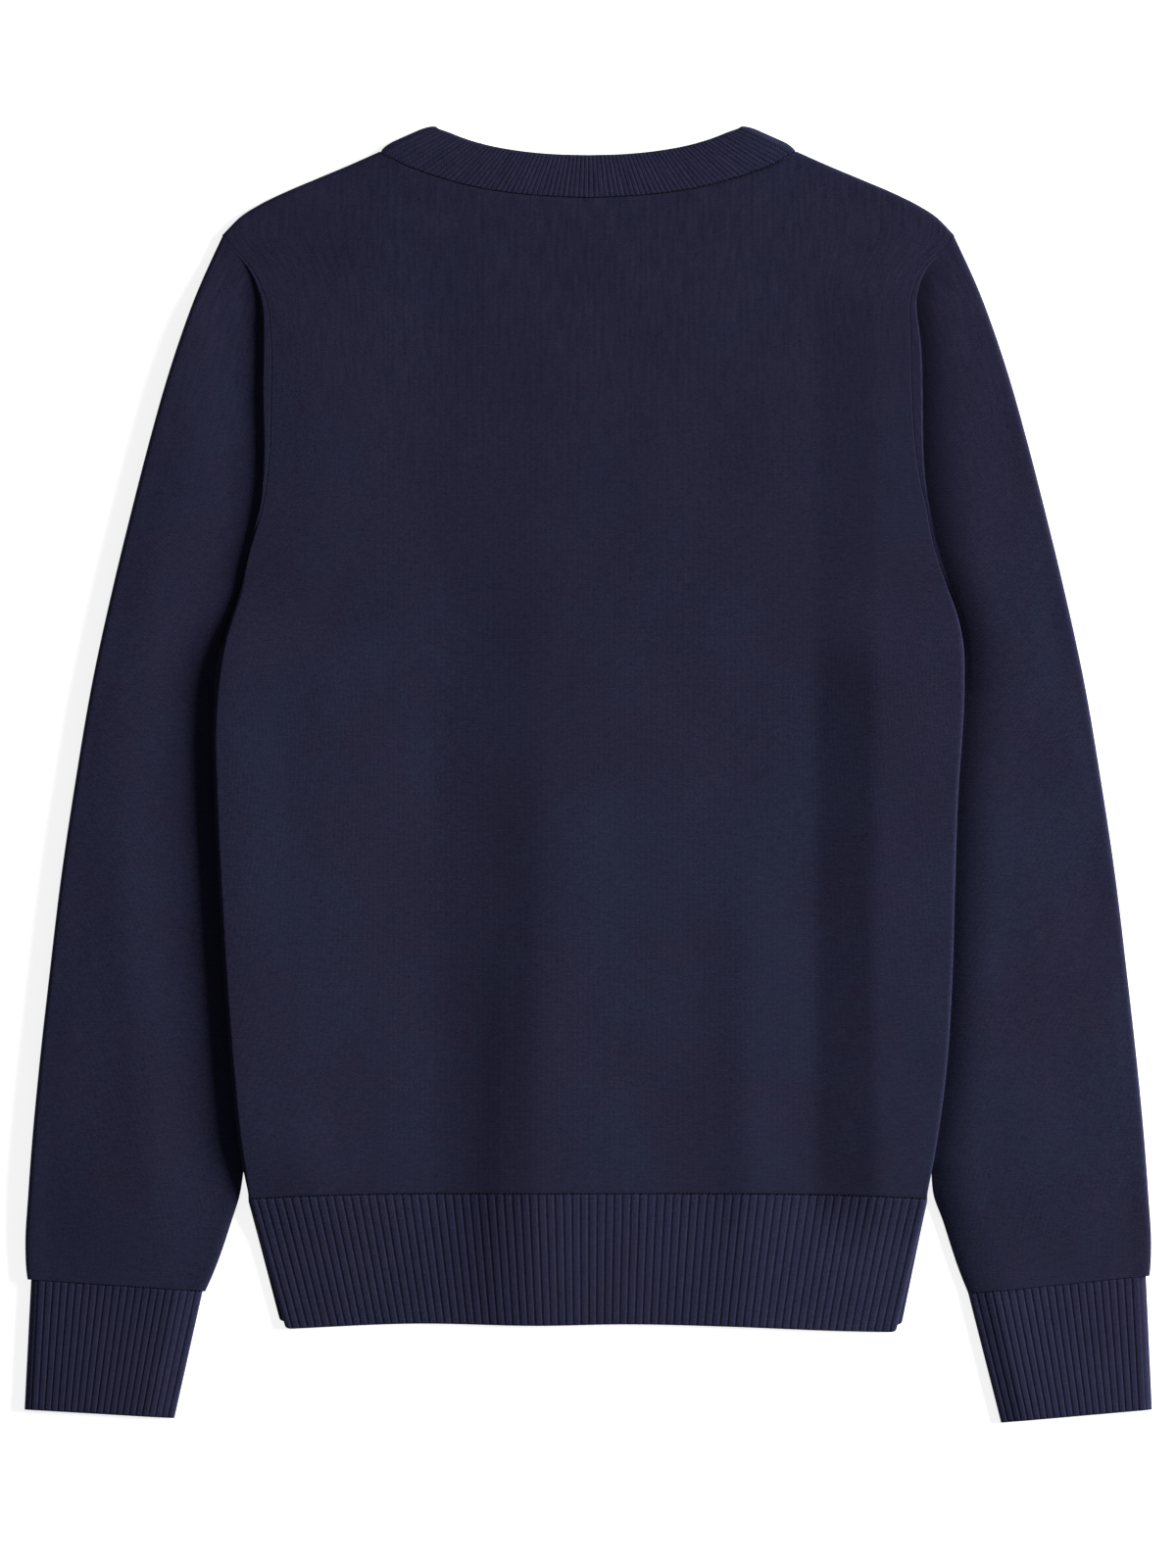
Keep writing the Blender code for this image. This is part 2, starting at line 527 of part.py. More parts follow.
def make_neckband(finish):
    """One ribbed strip all round the neck: across the back with its ribs up, turned under
    at each shoulder, and down both sides of the V with its outside against the surface."""
    u, rib = rib_columns(NECK_RIBS)
    seam_back = stack(u * NECK_X, neck_seam(u * NECK_X), 0.0)
    edge_x = BACK_NECK_EDGE["x"][-1]
    free_back = stack(u * edge_x, through(np.abs(u) * edge_x, BACK_NECK_EDGE, "x", "y"), 0.0)
    seam_turn, free_turn = seam_back[-1], free_back[-1]
    fold = seam_turn - free_turn
    out = np.array([-fold[1], fold[0], 0.0]) / np.linalg.norm(fold)
    middle = LAYER_STEP - GAP / 2.0
    outer_turn, inner_turn = middle, GAP / 2.0

    def turned(points, radius, angles):
        """A line of points carried round the fold at one shoulder."""
        s, c = np.sin(angles)[:, None], np.cos(angles)[:, None]
        return points + out * radius * s + np.array([0.0, 0.0, 1.0]) * (middle + radius * c)

    t = np.linspace(0.0, 1.0, V_STATIONS)
    slope = (NECK_Y - V_POINT_Y) / NECK_X
    v_rise = NECKBAND_WIDTH * np.hypot(1.0, slope)
    seam_v = stack(NECK_X * (1 - t), NECK_Y + (V_POINT_Y - NECK_Y) * t, 0.0)
    free_low = V_POINT_Y + v_rise
    free_v = stack(edge_x * (1 - t), free_turn[1] + (free_low - free_turn[1]) * t, 0.0)
    mirror = np.array([-1.0, 1.0, 1.0])
    rings = []
    for radius, back_z, front_z, raised in ((outer_turn, 2.0 * WALL + GAP, 0.0, True),
                                            (inner_turn, LAYER_STEP, WALL, False)):
        up = back_z + (RIB_RAISE * rib if raised else 0.0 * rib)
        rows = []
        for seam, free, v_line in ((seam_back, seam_turn, seam_v), (free_back, free_turn, free_v)):
            back = seam + np.array([0.0, 0.0, 1.0]) * up[:, None]
            turn = turned(free, radius, NECK_TURN_ANGLES)
            down = v_line + np.array([0.0, 0.0, front_z])
            climb = down[-2::-1] * mirror
            rows.append(np.concatenate([back, turn, down, climb, turn[::-1] * mirror]))
        rings.append(np.stack(rows))
    return solid("neckband", rings[0], rings[1], finish, closed=True)


def main():
    """Clears the scene's objects and makes the nine pieces."""
    for obj in list(bpy.data.objects):
        bpy.data.objects.remove(obj, do_unlink=True)
    if COLLECTION not in bpy.data.collections:
        bpy.context.scene.collection.children.link(bpy.data.collections.new(COLLECTION))
    make_front_panel(knit_finish("front_knit", NAVY_KNIT))
    make_back_panel(knit_finish("back_knit", NAVY_KNIT))
    make_hem_band_front(knit_finish("hem_front_rib", NAVY_RIB))
    make_hem_band_back(knit_finish("hem_back_rib", NAVY_RIB))
    make_neckband(knit_finish("neckband_rib", NAVY_RIB))
    for side in ("left", "right"):
        make_sleeve(side, knit_finish("sleeve_%s_knit" % side, NAVY_KNIT))
        make_cuff(side, knit_finish("cuff_%s_rib" % side, NAVY_RIB))


main()
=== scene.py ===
"""Looks of a navy V-neck sweater lying flat with its back facing up.

The form repeats the maker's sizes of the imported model, in millimetres, on finer grids: each
knitted piece is a thin wall worked out as whole numpy arrays, with its ribs, seams, folds
and stitches, and gets a procedural knit finish. Meshes are in metres.
"""

import logging
from dataclasses import dataclass, field
from enum import Enum
from typing import Callable, Dict, List, Optional, Sequence, Tuple

import bmesh
import bpy
import numpy as np
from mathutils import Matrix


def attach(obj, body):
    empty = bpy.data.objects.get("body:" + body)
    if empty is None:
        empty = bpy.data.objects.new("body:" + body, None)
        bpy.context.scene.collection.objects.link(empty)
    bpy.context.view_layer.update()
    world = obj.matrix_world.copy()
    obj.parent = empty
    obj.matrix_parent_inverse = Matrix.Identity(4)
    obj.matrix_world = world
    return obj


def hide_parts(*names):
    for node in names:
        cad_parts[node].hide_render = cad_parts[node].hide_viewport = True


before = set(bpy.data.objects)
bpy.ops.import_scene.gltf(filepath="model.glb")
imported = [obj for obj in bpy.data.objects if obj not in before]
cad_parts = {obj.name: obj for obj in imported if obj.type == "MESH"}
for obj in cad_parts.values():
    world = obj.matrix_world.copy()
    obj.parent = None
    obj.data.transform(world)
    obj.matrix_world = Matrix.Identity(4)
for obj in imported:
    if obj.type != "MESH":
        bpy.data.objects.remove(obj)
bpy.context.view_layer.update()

LOG = logging.getLogger("sweater")
Array = np.ndarray
Table = Dict[str, Tuple[float, ...]]
Pair = Tuple[float, float]
Triple = Tuple[float, float, float]
Outputs = bpy.types.NodeOutputs

MM = 0.001
OUTLINE_MIDDLE = np.array([0.0, 0.58, 0.0])

# Rounded edges, as radius and drop in mm: linked edges, armhole edges, sides of ribbed bands.
LINKED_EDGE = (1.2, 0.5)
ARMHOLE_EDGE = (0.6, 0.16)
BAND_SIDE = (3.0, 1.1)
# Levels in mm between which the underarm seam turns into the armhole seam.
UNDERARM = (96.0, 120.0)
# Points of one stitch: round it and from pole to pole.
STITCH_AROUND, STITCH_UP = 8, 6
UV_NAME = "wales"
WHITE = (1.0, 1.0, 1.0, 1.0)


class Side(Enum):
    """Sides of the sweater as seen from above: the sign of X."""

    LEFT = -1.0
    RIGHT = 1.0

    @property
    def word(self) -> str:
        """Lower-case name, as in the names of the pieces."""
        return self.name.lower()

    def turned(self, grids: List[Array]) -> List[Array]:
        """Grids whose mirrored rows run the other way on the left, so that faces look out."""
        return [grid[:, ::-1] for grid in grids] if self is Side.LEFT else grids


# ---- curves and steps ----

def rounded_step(value: Array, start: Array, end: Array) -> Array:
    """Smooth step: 3t^2 - 2t^3 of the clipped share t of the way from start to end.

    Args:
        value: where the step is read.
        start: where it leaves 0; it may lie above end.
        end: where it reaches 1.

    Returns:
        Numbers from 0 to 1.
    """
    t = np.clip((np.asarray(value, float) - start) / (np.asarray(end, float) - start), 0.0, 1.0)
    return t * t * (3.0 - 2.0 * t)


def even_step(value: Array, start: Array, end: Array) -> Array:
    """Straight rise from 0 at start to 1 at end, with rounded first and last fifths.

    Args:
        value: where the step is read.
        start: where it leaves 0.
        end: where it reaches 1.

    Returns:
        Numbers from 0 to 1.
    """
    t = np.clip((np.asarray(value, float) - start) / (np.asarray(end, float) - start), 0.0, 1.0)
    low, high = np.minimum(t, 0.2), np.maximum(t - 0.8, 0.0)
    return (low ** 2 / 0.4 + np.clip(t - 0.2, 0.0, 0.6) + high - high ** 2 / 0.4) / 0.8


def through(where: Array, table: Table, across: str, down: str) -> Array:
    """Cubic Hermite curve through a table's rows, slopes taken from neighbouring rows.

    Args:
        where: positions in the column called across.
        table: named columns of equal length.
        across: name of the column that is read along.
        down: name of the column that is returned.

    Returns:
        Values of the curve, held at the table's ends.
    """
    xs, ys = np.asarray(table[across], float), np.asarray(table[down], float)
    order = np.argsort(xs)
    xs, ys = xs[order], ys[order]
    slopes = np.gradient(ys, xs)
    where = np.clip(np.asarray(where, float), xs[0], xs[-1])
    i = np.clip(np.searchsorted(xs, where) - 1, 0, len(xs) - 2)
    span = xs[i + 1] - xs[i]
    t = (where - xs[i]) / span
    return ((2 * t ** 3 - 3 * t ** 2 + 1) * ys[i] + (t ** 3 - 2 * t ** 2 + t) * span * slopes[i]
            + (3 * t ** 2 - 2 * t ** 3) * ys[i + 1] + (t ** 3 - t ** 2) * span * slopes[i + 1])


def fine_ends(count: int, ends: Sequence[float]) -> Array:
    """Even shares from 0 to 1 with a few extra ones close to both ends.

    Args:
        count: number of even shares.
        ends: extra shares near 0, mirrored near 1.

    Returns:
        Sorted shares from 0 to 1.
    """
    even = np.linspace(0.0, 1.0, count)
    extra = np.asarray(ends)
    return np.unique(np.concatenate([even, extra, 1.0 - extra]))


def edge_drop(distance: Array, radius: float, depth: float) -> Array:
    """Quarter-round edge: depth * (1 - sqrt(1 - (1 - d/r)^2)) within radius of the edge.

    Args:
        distance: distance from the edge.
        radius: where the rounding starts.
        depth: how far the edge itself drops.

    Returns:
        Drop at each point.
    """
    t = np.clip(1.0 - np.asarray(distance, float) / radius, 0.0, 1.0)
    return depth * (1.0 - np.sqrt(1.0 - t * t))


def band_ends(over_low: Array, below_top: Array) -> Array:
    """Drop of a ribbed band at its free edge and at its linked edge, from both distances."""
    return edge_drop(over_low, 1.4, 1.1) + edge_drop(below_top, 0.9, 0.5)


def rib_form(phase: Array) -> Array:
    """Broad flat rib with a narrow round groove: 1 - |2p - 1|^5 over each whole phase p."""
    return 1.0 - np.abs(2.0 * (phase - np.floor(phase)) - 1.0) ** 5


def stack(*parts: Array) -> Array:
    """Arrays broadcast to one shape and joined as points."""
    return np.stack(np.broadcast_arrays(*parts), axis=-1).astype(float)


# ---- how the sweater lies ----

def table(**columns: object) -> object:
    """Default of a dataclass field that holds named columns."""
    return field(default_factory=lambda: columns)


@dataclass(frozen=True)
class Lay:
    """Outline, layers and folds of the sweater as it lies, in millimetres.

    The outline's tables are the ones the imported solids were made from. The heights of lips,
    side edges and folds are set for the picture's light and differ from theirs by up to 2 mm.
    """

    wall: float = 2.0
    gap: float = 0.3
    seam: float = 0.08
    hem_seam_y: float = -235.5
    hem_seam_droop: float = 3.0
    shoulder_x: float = 205.0
    neck_x: float = 117.0
    neck_y: float = 349.0
    v_point_y: float = 150.0
    neck_columns: int = 17
    armhole_lip: Dict[str, float] = table(left=3.1, right=2.2)
    side_rise: Dict[str, Pair] = table(left=(2.6, 56.0), right=(0.4, 30.0))
    side_edge: Pair = (-1.0, 2.2)
    side_end: Pair = (-236.0, -200.0)
    front_link_drop: float = 1.5
    front_spare: float = 0.2
    sleeve_clear: float = 0.5
    ramp_clear: float = 5.0
    body_lip: Pair = (74.0, 116.0)
    lip_top: Pair = (250.0, 296.0)
    fold_limit: float = 5.6
    fold_fade: Pair = (0.0, 30.0)
    puff_limit: float = 6.0
    top_fade: Pair = (0.0, 22.0)
    ramp: Dict[str, Pair] = table(left=(75.0, 165.0), right=(124.0, 165.0))
    underarm_lift: Pair = (108.0, 50.0)
    hem_drop: Pair = (-222.0, -268.0)
    body_side: Table = table(
        y=(302.0, 296.7, 283.0, 269.0, 242.0, 214.0, 170.0, 148.0, 126.0, 104.0, 90.5,
              76.7, 49.2, 21.7, -5.8, -60.8, -115.8, -170.8, -212.0, -235.5),
        left=(205.0, 200.6, 188.6, 181.7, 177.8, 177.8, 179.5, 183.0, 189.5, 194.9, 199.8,
                 204.2, 208.9, 210.6, 210.0, 207.5, 204.2, 199.8, 195.2, 190.5),
        right=(205.0, 200.6, 187.2, 181.3, 180.8, 181.3, 185.0, 189.5, 194.0, 201.5, 206.5,
                  209.7, 210.8, 209.6, 207.6, 205.5, 203.9, 200.2, 194.4, 190.0))
    sleeve_fold: Table = table(
        y=(302.0, 285.7, 272.0, 244.5, 217.0, 189.5, 148.0, 107.0, 52.0, -3.0, -58.0,
              -113.0, -168.0, -209.0, -236.5, -264.3, -278.0, -287.0),
        x=(205.0, 212.6, 218.6, 228.8, 237.6, 245.3, 256.0, 266.0, 278.0, 287.4, 295.6,
              302.2, 308.3, 312.1, 314.1, 315.7, 315.2, 314.0))
    sleeve_tuck: Table = table(
        y=(48.0, 38.0, 20.0, -5.8, -33.0, -60.8, -115.8, -164.0, -194.0, -213.0, -223.0),
        tuck=(-0.5, 3.5, 14.0, 28.0, 34.0, 36.0, 35.0, 28.0, 18.0, 6.5, -0.5))
    sleeve_low: Table = table(
        y=(-223.0, -236.8, -250.5, -264.3, -278.0, -293.0),
        left=(193.4, 195.7, 200.0, 204.4, 209.4, 216.0),
        right=(192.4, 193.8, 198.8, 203.2, 207.8, 213.8))
    folds: Table = table(
        x_top=(-20.0, 86.0, -46.0),
        x_bottom=(-27.0, 90.0, -50.0),
        y_top=(230.0, 0.0, -60.0),
        y_full=(-150.0, -190.0, -200.0),
        height=(5.0, 1.7, 1.0),
        flank_left=(24.0, 14.0, 10.0),
        flank_right=(90.0, 30.0, 26.0),
        crest_round=(16.0, 10.0, 5.0))
    neck_seam_line: Table = table(
        x=(0.0, 30.0, 58.0, 79.0, 97.0, 110.0, 117.0),
        y=(323.0, 324.5, 328.0, 333.0, 339.0, 344.5, 349.0))
    neck_edge_line: Table = table(
        x=(0.0, 20.0, 40.0, 58.0, 70.0, 78.0, 85.0),
        y=(347.0, 347.6, 349.6, 353.0, 356.6, 359.8, 363.2))
    shoulder_line: Table = table(
        x=(117.0, 134.0, 153.5, 171.0, 185.0, 195.0, 205.0),
        y=(349.0, 341.4, 333.2, 325.7, 318.7, 312.2, 302.0))
    hem_bottom: Table = table(
        x=(-170.2, -100.0, -26.0, 20.0, 80.0, 140.0, 173.0),
        y=(-311.5, -308.5, -309.6, -308.8, -310.2, -312.6, -313.4))

    @property
    def layer_step(self) -> float:
        """One layer of cloth and the gap over it."""
        return self.wall + self.gap

    def half(self, y: Array, side: str) -> Array:
        """Half width of the body at a level, on the side named by its word."""
        return through(y, self.body_side, "y", side)

    def half_at(self, x: Array, y: Array) -> Array:
        """Half width of the body on each point's own side."""
        return np.where(x < 0.0, self.half(y, "left"), self.half(y, "right"))

    def sleeve_inner(self, y: Array, side: str) -> Array:
        """Distance of a sleeve's inner edge from the middle.

        Above the underarm it is the armhole seam. Below, the underarm seam runs in under
        the body and comes out above the hem.
        """
        half = self.half(y, side)
        beside, beside_clear = half + self.seam, half + self.sleeve_clear
        under = half - through(y, self.sleeve_tuck, "y", "tuck")
        low = through(y, self.sleeve_low, "y", side)
        top, bottom = self.sleeve_tuck["y"][0], self.sleeve_tuck["y"][-1]
        edge = np.where((y < top) & (y > bottom), np.minimum(under, beside_clear), beside)
        return np.where(y <= bottom, np.maximum(low, beside_clear), edge)

    def front_lift(self, x: Array, y: Array) -> Array:
        """Lift of the front where a sleeve lies under it: a step across times one along."""
        along = rounded_step(y, *self.underarm_lift) * (1.0 - rounded_step(y, *self.hem_drop))
        return (2.0 * self.layer_step + self.front_spare) * self.side_ramp(x, y) * along

    def side_ramp(self, x: Array, y: Array) -> Array:
        """The body's climb from its middle to its sides, 0 to 1."""
        climbs = []
        for side, (start, end) in self.ramp.items():
            limit = np.minimum(self.sleeve_inner(y, side) - self.ramp_clear, end)
            climbs.append(even_step(np.abs(x), start, limit))
        return np.where(x < 0.0, *climbs)

    def fold_lift(self, x: Array, y: Array) -> Array:
        """Sum of the back's ridges: height * exp(-(sqrt(s^2 + c^2) - c) / flank)."""
        lift = np.zeros(np.broadcast(x, y).shape)
        for x_top, x_bottom, y_top, y_full, height, left, right, c in zip(*self.folds.values()):
            crest = x_top + (x_bottom - x_top) * (y_top - y) / (y_top - self.hem_seam_y)
            s = x - crest
            q = np.sqrt(s * s + c ** 2) - c
            lift += height * rounded_step(y, y_top, y_full) * np.exp(
                -q / np.where(s < 0.0, left, right))
        return np.minimum(lift, self.fold_limit)

    def puff(self, x: Array, y: Array, top: Array) -> Array:
        """How far the back stands off the front: armhole lip, side roundness and folds.

        Args:
            x: places across, in mm from the middle.
            y: levels of the same points.
            top: level of the back's upper edge above each point.

        Returns:
            Lift in mm, from 0 to puff_limit.
        """
        inside = self.half_at(x, y) - np.abs(x)
        armhole = rounded_step(y, *self.body_lip) * (1.0 - rounded_step(y, *self.lip_top))
        lip = np.where(x < 0.0, *self.armhole_lip.values()) * self.side_ramp(x, y) * armhole
        height, reach = (np.where(x < 0.0, *pair) for pair in zip(*self.side_rise.values()))
        side = height * rounded_step(inside, *self.side_edge) * rounded_step(inside, reach, 4.0)
        side = side * (1.0 - rounded_step(y, *self.body_lip)) * rounded_step(y, *self.side_end)
        folds = self.fold_lift(x, y) * rounded_step(inside, *self.fold_fade)
        lift = (lip + side + folds) * rounded_step(top - y, *self.top_fade)
        return np.clip(lift, 0.0, self.puff_limit)

    def hem_seam(self, u: Array) -> Array:
        """Level of the hem seam at a share u of the half width: it hangs at the sides."""
        return self.hem_seam_y - self.hem_seam_droop * np.abs(u) ** 4

    def neck_seam(self, x: Array) -> Array:
        """Level of the neckband seam across the back, straight between wales."""
        corners = np.linspace(0.0, self.neck_x, self.neck_columns // 2 + 1)
        return np.interp(np.abs(x), corners, through(corners, self.neck_seam_line, "x", "y"))

    def shoulder(self, x: Array) -> Array:
        """Level of the shoulder line."""
        return through(np.abs(x), self.shoulder_line, "x", "y")

    def hem_edge(self, x: Array) -> Array:
        """Level of the hem's lower edge."""
        return through(x, self.hem_bottom, "x", "y")


# ---- meshes ----

def grid_quads(rows: int, columns: int, closed: bool) -> Array:
    """Corner numbers of a grid's quads, rows from low to high, columns joined if closed."""
    across = columns if closed else columns - 1
    r, c = np.meshgrid(np.arange(rows - 1), np.arange(across), indexing="ij")
    a, b = r * columns + c, r * columns + (c + 1) % columns
    return np.stack([a, b, b + columns, a + columns], axis=-1).reshape(-1, 4)


def wall_quads(rows: int, columns: int, closed: bool) -> Array:
    """Quads of a wall: outer grid, inner grid the other way round, and the rims between."""
    count = rows * columns
    outer = grid_quads(rows, columns, closed)
    inner = outer[:, ::-1] + count
    c = np.arange(columns if closed else columns - 1)
    d = (c + 1) % columns
    last = (rows - 1) * columns
    rims = [np.stack([d, c, count + c, count + d], axis=-1),
            np.stack([last + c, last + d, count + last + d, count + last + c], axis=-1)]
    if not closed:
        a = np.arange(rows - 1) * columns
        b = a + columns
        e, f = a + columns - 1, b + columns - 1
        rims += [np.stack([a, b, count + b, count + a], axis=-1),
                 np.stack([f, e, count + e, count + f], axis=-1)]
    return np.concatenate([outer, inner, *rims])


def linked(name: str, data: bpy.types.ID) -> bpy.types.Object:
    """A new object of the data, linked to the scene."""
    made = bpy.data.objects.new(name, data)
    bpy.context.scene.collection.objects.link(made)
    return made


def quad_mesh(name: str, points: Array, quads: Array, uv: Array) -> bpy.types.Object:
    """A smooth-shaded mesh object from arrays.

    Args:
        name: the piece's name.
        points: vertices in millimetres, before the outline is centred.
        quads: four vertex numbers a face.
        uv: two numbers a vertex, in metres along the rows and up the wales.

    Returns:
        The new object, linked to the scene.
    """
    mesh = bpy.data.meshes.new(name)
    mesh.vertices.add(len(points))
    mesh.vertices.foreach_set("co", ((points - OUTLINE_MIDDLE) * MM).astype(np.float32).ravel())
    mesh.loops.add(quads.size)
    mesh.loops.foreach_set("vertex_index", quads.astype(np.int32).ravel())
    mesh.polygons.add(len(quads))
    mesh.polygons.foreach_set("loop_start", np.arange(0, quads.size, 4, dtype=np.int32))
    mesh.update(calc_edges=True)
    layer = mesh.uv_layers.new(name=UV_NAME)
    layer.data.foreach_set("uv", uv[quads.ravel()].astype(np.float32).ravel())
    mesh.shade_smooth()
    mesh.validate()
    return linked(name, mesh)


def grid_area(points: Array) -> float:
    """Area in square metres of a grid of points in millimetres, as sums of two triangles."""
    a, b = points[:-1, :-1], points[:-1, 1:]
    c, d = points[1:, 1:], points[1:, :-1]
    halves = np.linalg.norm(np.cross(b - a, c - a), axis=-1)
    halves = halves + np.linalg.norm(np.cross(c - a, d - a), axis=-1)
    return float(halves.sum()) / 2.0 * MM * MM


def wall_piece(name: str, outer: Array, inner: Array, wales: Array,
               closed: bool = False) -> bpy.types.Object:
    """A wall between two grids of points.

    Args:
        name: the piece's name.
        outer: grid (rows, columns, 3) of the side that faces out.
        inner: grid of the other side, of the same shape.
        wales: grid (rows, columns, 2) of distances along a row and up a wale, in mm.
        closed: whether each row is a ring.

    Returns:
        The new object.
    """
    rows, columns, _ = outer.shape
    points = np.concatenate([outer.reshape(-1, 3), inner.reshape(-1, 3)])
    uv = np.tile(wales.reshape(-1, 2) * MM, (2, 1))
    return quad_mesh(name, points, wall_quads(rows, columns, closed), uv)


def folded_tube(over: Array, start: Array, flat_end: Array, turn: Array, upper: Sequence[Array],
                ends: Sequence[Array], wall: float, counts: Tuple[int, int],
                squareness: float = 1.0) -> List[Array]:
    """Section of a tube that lies flat: upper layer, half ellipse round the fold, lower layer.
    The ellipse is (turn * sin(a)^s, height / 2 * (1 + cos(a)^s)) with a from 0 to pi.

    Args:
        over: reach of the upper layer's points, a row each.
        start: reach of the open edge.
        flat_end: reach where the fold starts.
        turn: how far the fold stands out from there.
        upper: outer and inner heights of the upper layer.
        ends: outer and inner heights where the fold starts.
        wall: thickness of the cloth.
        counts: points round the fold and points of the lower layer.
        squareness: the exponent s; below 1 the fold is squarer.

    Returns:
        Outer reach and height, then inner reach and height.
    """
    angle = np.linspace(0.0, np.pi, counts[0])[None, 1:-1]
    outward = np.sin(angle) ** squareness
    around = np.sign(np.cos(angle)) * np.abs(np.cos(angle)) ** squareness
    under = start + (flat_end - start) * np.linspace(1.0, 0.0, counts[1])[None, :]
    inner_turn = np.maximum(turn - wall, 0.3)
    end_out, end_in = ends
    return [np.hstack([over, flat_end + turn * outward, under]),
            np.hstack([upper[0], end_out / 2.0 * (1.0 + around), 0.0 * under]),
            np.hstack([over, flat_end + inner_turn * outward, under]),
            np.hstack([upper[1], (end_in + wall) / 2.0 + (end_in - wall) / 2.0 * around,
                       0.0 * under + wall])]


def stitch_row(name: str, centres: Array, along: Array, size: Triple,
               lean: float) -> bpy.types.Object:
    """A row of small yarn stitches: an ellipsoid of 8 x 6 points at each centre.

    Args:
        name: the piece's name.
        centres: places in mm, one a stitch.
        along: unit direction of each stitch's long axis, in the plane.
        size: half length, half width and half height in mm.
        lean: turn of every stitch from its direction, in radians.

    Returns:
        One object that holds them all.
    """
    around = np.linspace(0.0, 2.0 * np.pi, STITCH_AROUND + 1)[:-1]
    a, p = np.meshgrid(around, np.linspace(0.0, np.pi, STITCH_UP))
    ball = stack(np.cos(a) * np.sin(p), np.sin(a) * np.sin(p), np.cos(p)).reshape(-1, 3) * size
    c, s = np.cos(lean), np.sin(lean)
    first = stack(along[:, 0] * c - along[:, 1] * s, along[:, 0] * s + along[:, 1] * c, 0.0)
    second = stack(-first[:, 1], first[:, 0], 0.0)
    points = (centres[:, None, :] + ball[None, :, :1] * first[:, None, :]
              + ball[None, :, 1:2] * second[:, None, :])
    points[:, :, 2] += ball[None, :, 2]
    one = grid_quads(STITCH_UP, STITCH_AROUND, True)[:, ::-1]
    first_points = np.arange(len(centres)) * STITCH_UP * STITCH_AROUND
    quads = (one[None] + first_points[:, None, None]).reshape(-1, 4)
    flat = points.reshape(-1, 3)
    piece = quad_mesh(name, flat, quads, flat[:, :2] * MM)
    weld_poles(piece)
    return piece


def weld_poles(piece: bpy.types.Object) -> None:
    """Joins the points that meet at the poles and turns the faces outwards."""
    mesh = bmesh.new()
    mesh.from_mesh(piece.data)
    bmesh.ops.remove_doubles(mesh, verts=mesh.verts, dist=1e-6)
    bmesh.ops.recalc_face_normals(mesh, faces=mesh.faces)
    mesh.to_mesh(piece.data)
    mesh.free()
    piece.data.shade_smooth()


# ---- finishes ----

class Graph:
    """A node tree with short ways to add nodes. Values are outputs of nodes or constants."""

    def __init__(self, tree: bpy.types.NodeTree) -> None:
        """Takes the tree."""
        self.tree = tree

    def put(self, socket: bpy.types.NodeSocket, value: object) -> None:
        """Links an output to an input, or sets a constant on it."""
        if isinstance(value, bpy.types.NodeSocket):
            self.tree.links.new(value, socket)
        else:
            socket.default_value = value

    def fill(self, node: bpy.types.Node, values: Dict[str, object]) -> bpy.types.Node:
        """Puts values on a node's inputs by their names, and returns the node."""
        for label, value in values.items():
            self.put(node.inputs[label], value)
        return node

    def add(self, kind: str, values: Dict[str, object]) -> bpy.types.Node:
        """A new shader node of a kind, such as Bump, with its inputs filled."""
        return self.fill(self.tree.nodes.new(f"ShaderNode{kind}"), values)

    def group(self, shared: bpy.types.NodeTree, values: Dict[str, object]) -> Outputs:
        """Outputs of a node that shows a shared group."""
        node = self.tree.nodes.new("ShaderNodeGroup")
        node.node_tree = shared
        return self.fill(node, values).outputs

    def place(self) -> bpy.types.NodeSocket:
        """Object coordinates."""
        return self.add("TexCoord", {}).outputs["Object"]

    def parts(self, vector: bpy.types.NodeSocket) -> Outputs:
        """X, Y and Z of a vector."""
        return self.add("SeparateXYZ", {"Vector": vector}).outputs

    def math(self, operation: str, *values: object) -> bpy.types.NodeSocket:
        """Result of a Math node, from Blender's name of the operation and its values."""
        node = self.add("Math", {})
        node.operation = operation
        for socket, value in zip(node.inputs, values):
            self.put(socket, value)
        return node.outputs["Value"]

    def swing(self, value: object, strength: object) -> bpy.types.NodeSocket:
        """(value - 0.5) * strength."""
        return self.math("MULTIPLY", self.math("SUBTRACT", value, 0.5), strength)

    def mix(self, share: object, first: object, second: object) -> bpy.types.NodeSocket:
        """First * (1 - share) + second * share."""
        node = self.add("Mix", {})
        for index, value in ((0, share), (2, first), (3, second)):
            self.put(node.inputs[index], value)
        return node.outputs[0]

    def step(self, value: object, start: float, end: float) -> bpy.types.NodeSocket:
        """Smooth step of a value from 0 at start to 1 at end."""
        node = self.add("MapRange", {"Value": value, "From Min": start, "From Max": end})
        node.interpolation_type = "SMOOTHSTEP"
        return node.outputs["Result"]

    def noise(self, place: object, scale: Triple, detail: float) -> bpy.types.NodeSocket:
        """Noise on a place, from its scale per metre along X, Y and Z and its octaves."""
        scaled = self.add("Mapping", {"Vector": place, "Scale": scale}).outputs["Vector"]
        values = {"Vector": scaled, "Scale": 1.0, "Detail": detail}
        return self.add("TexNoise", values).outputs["Fac"]


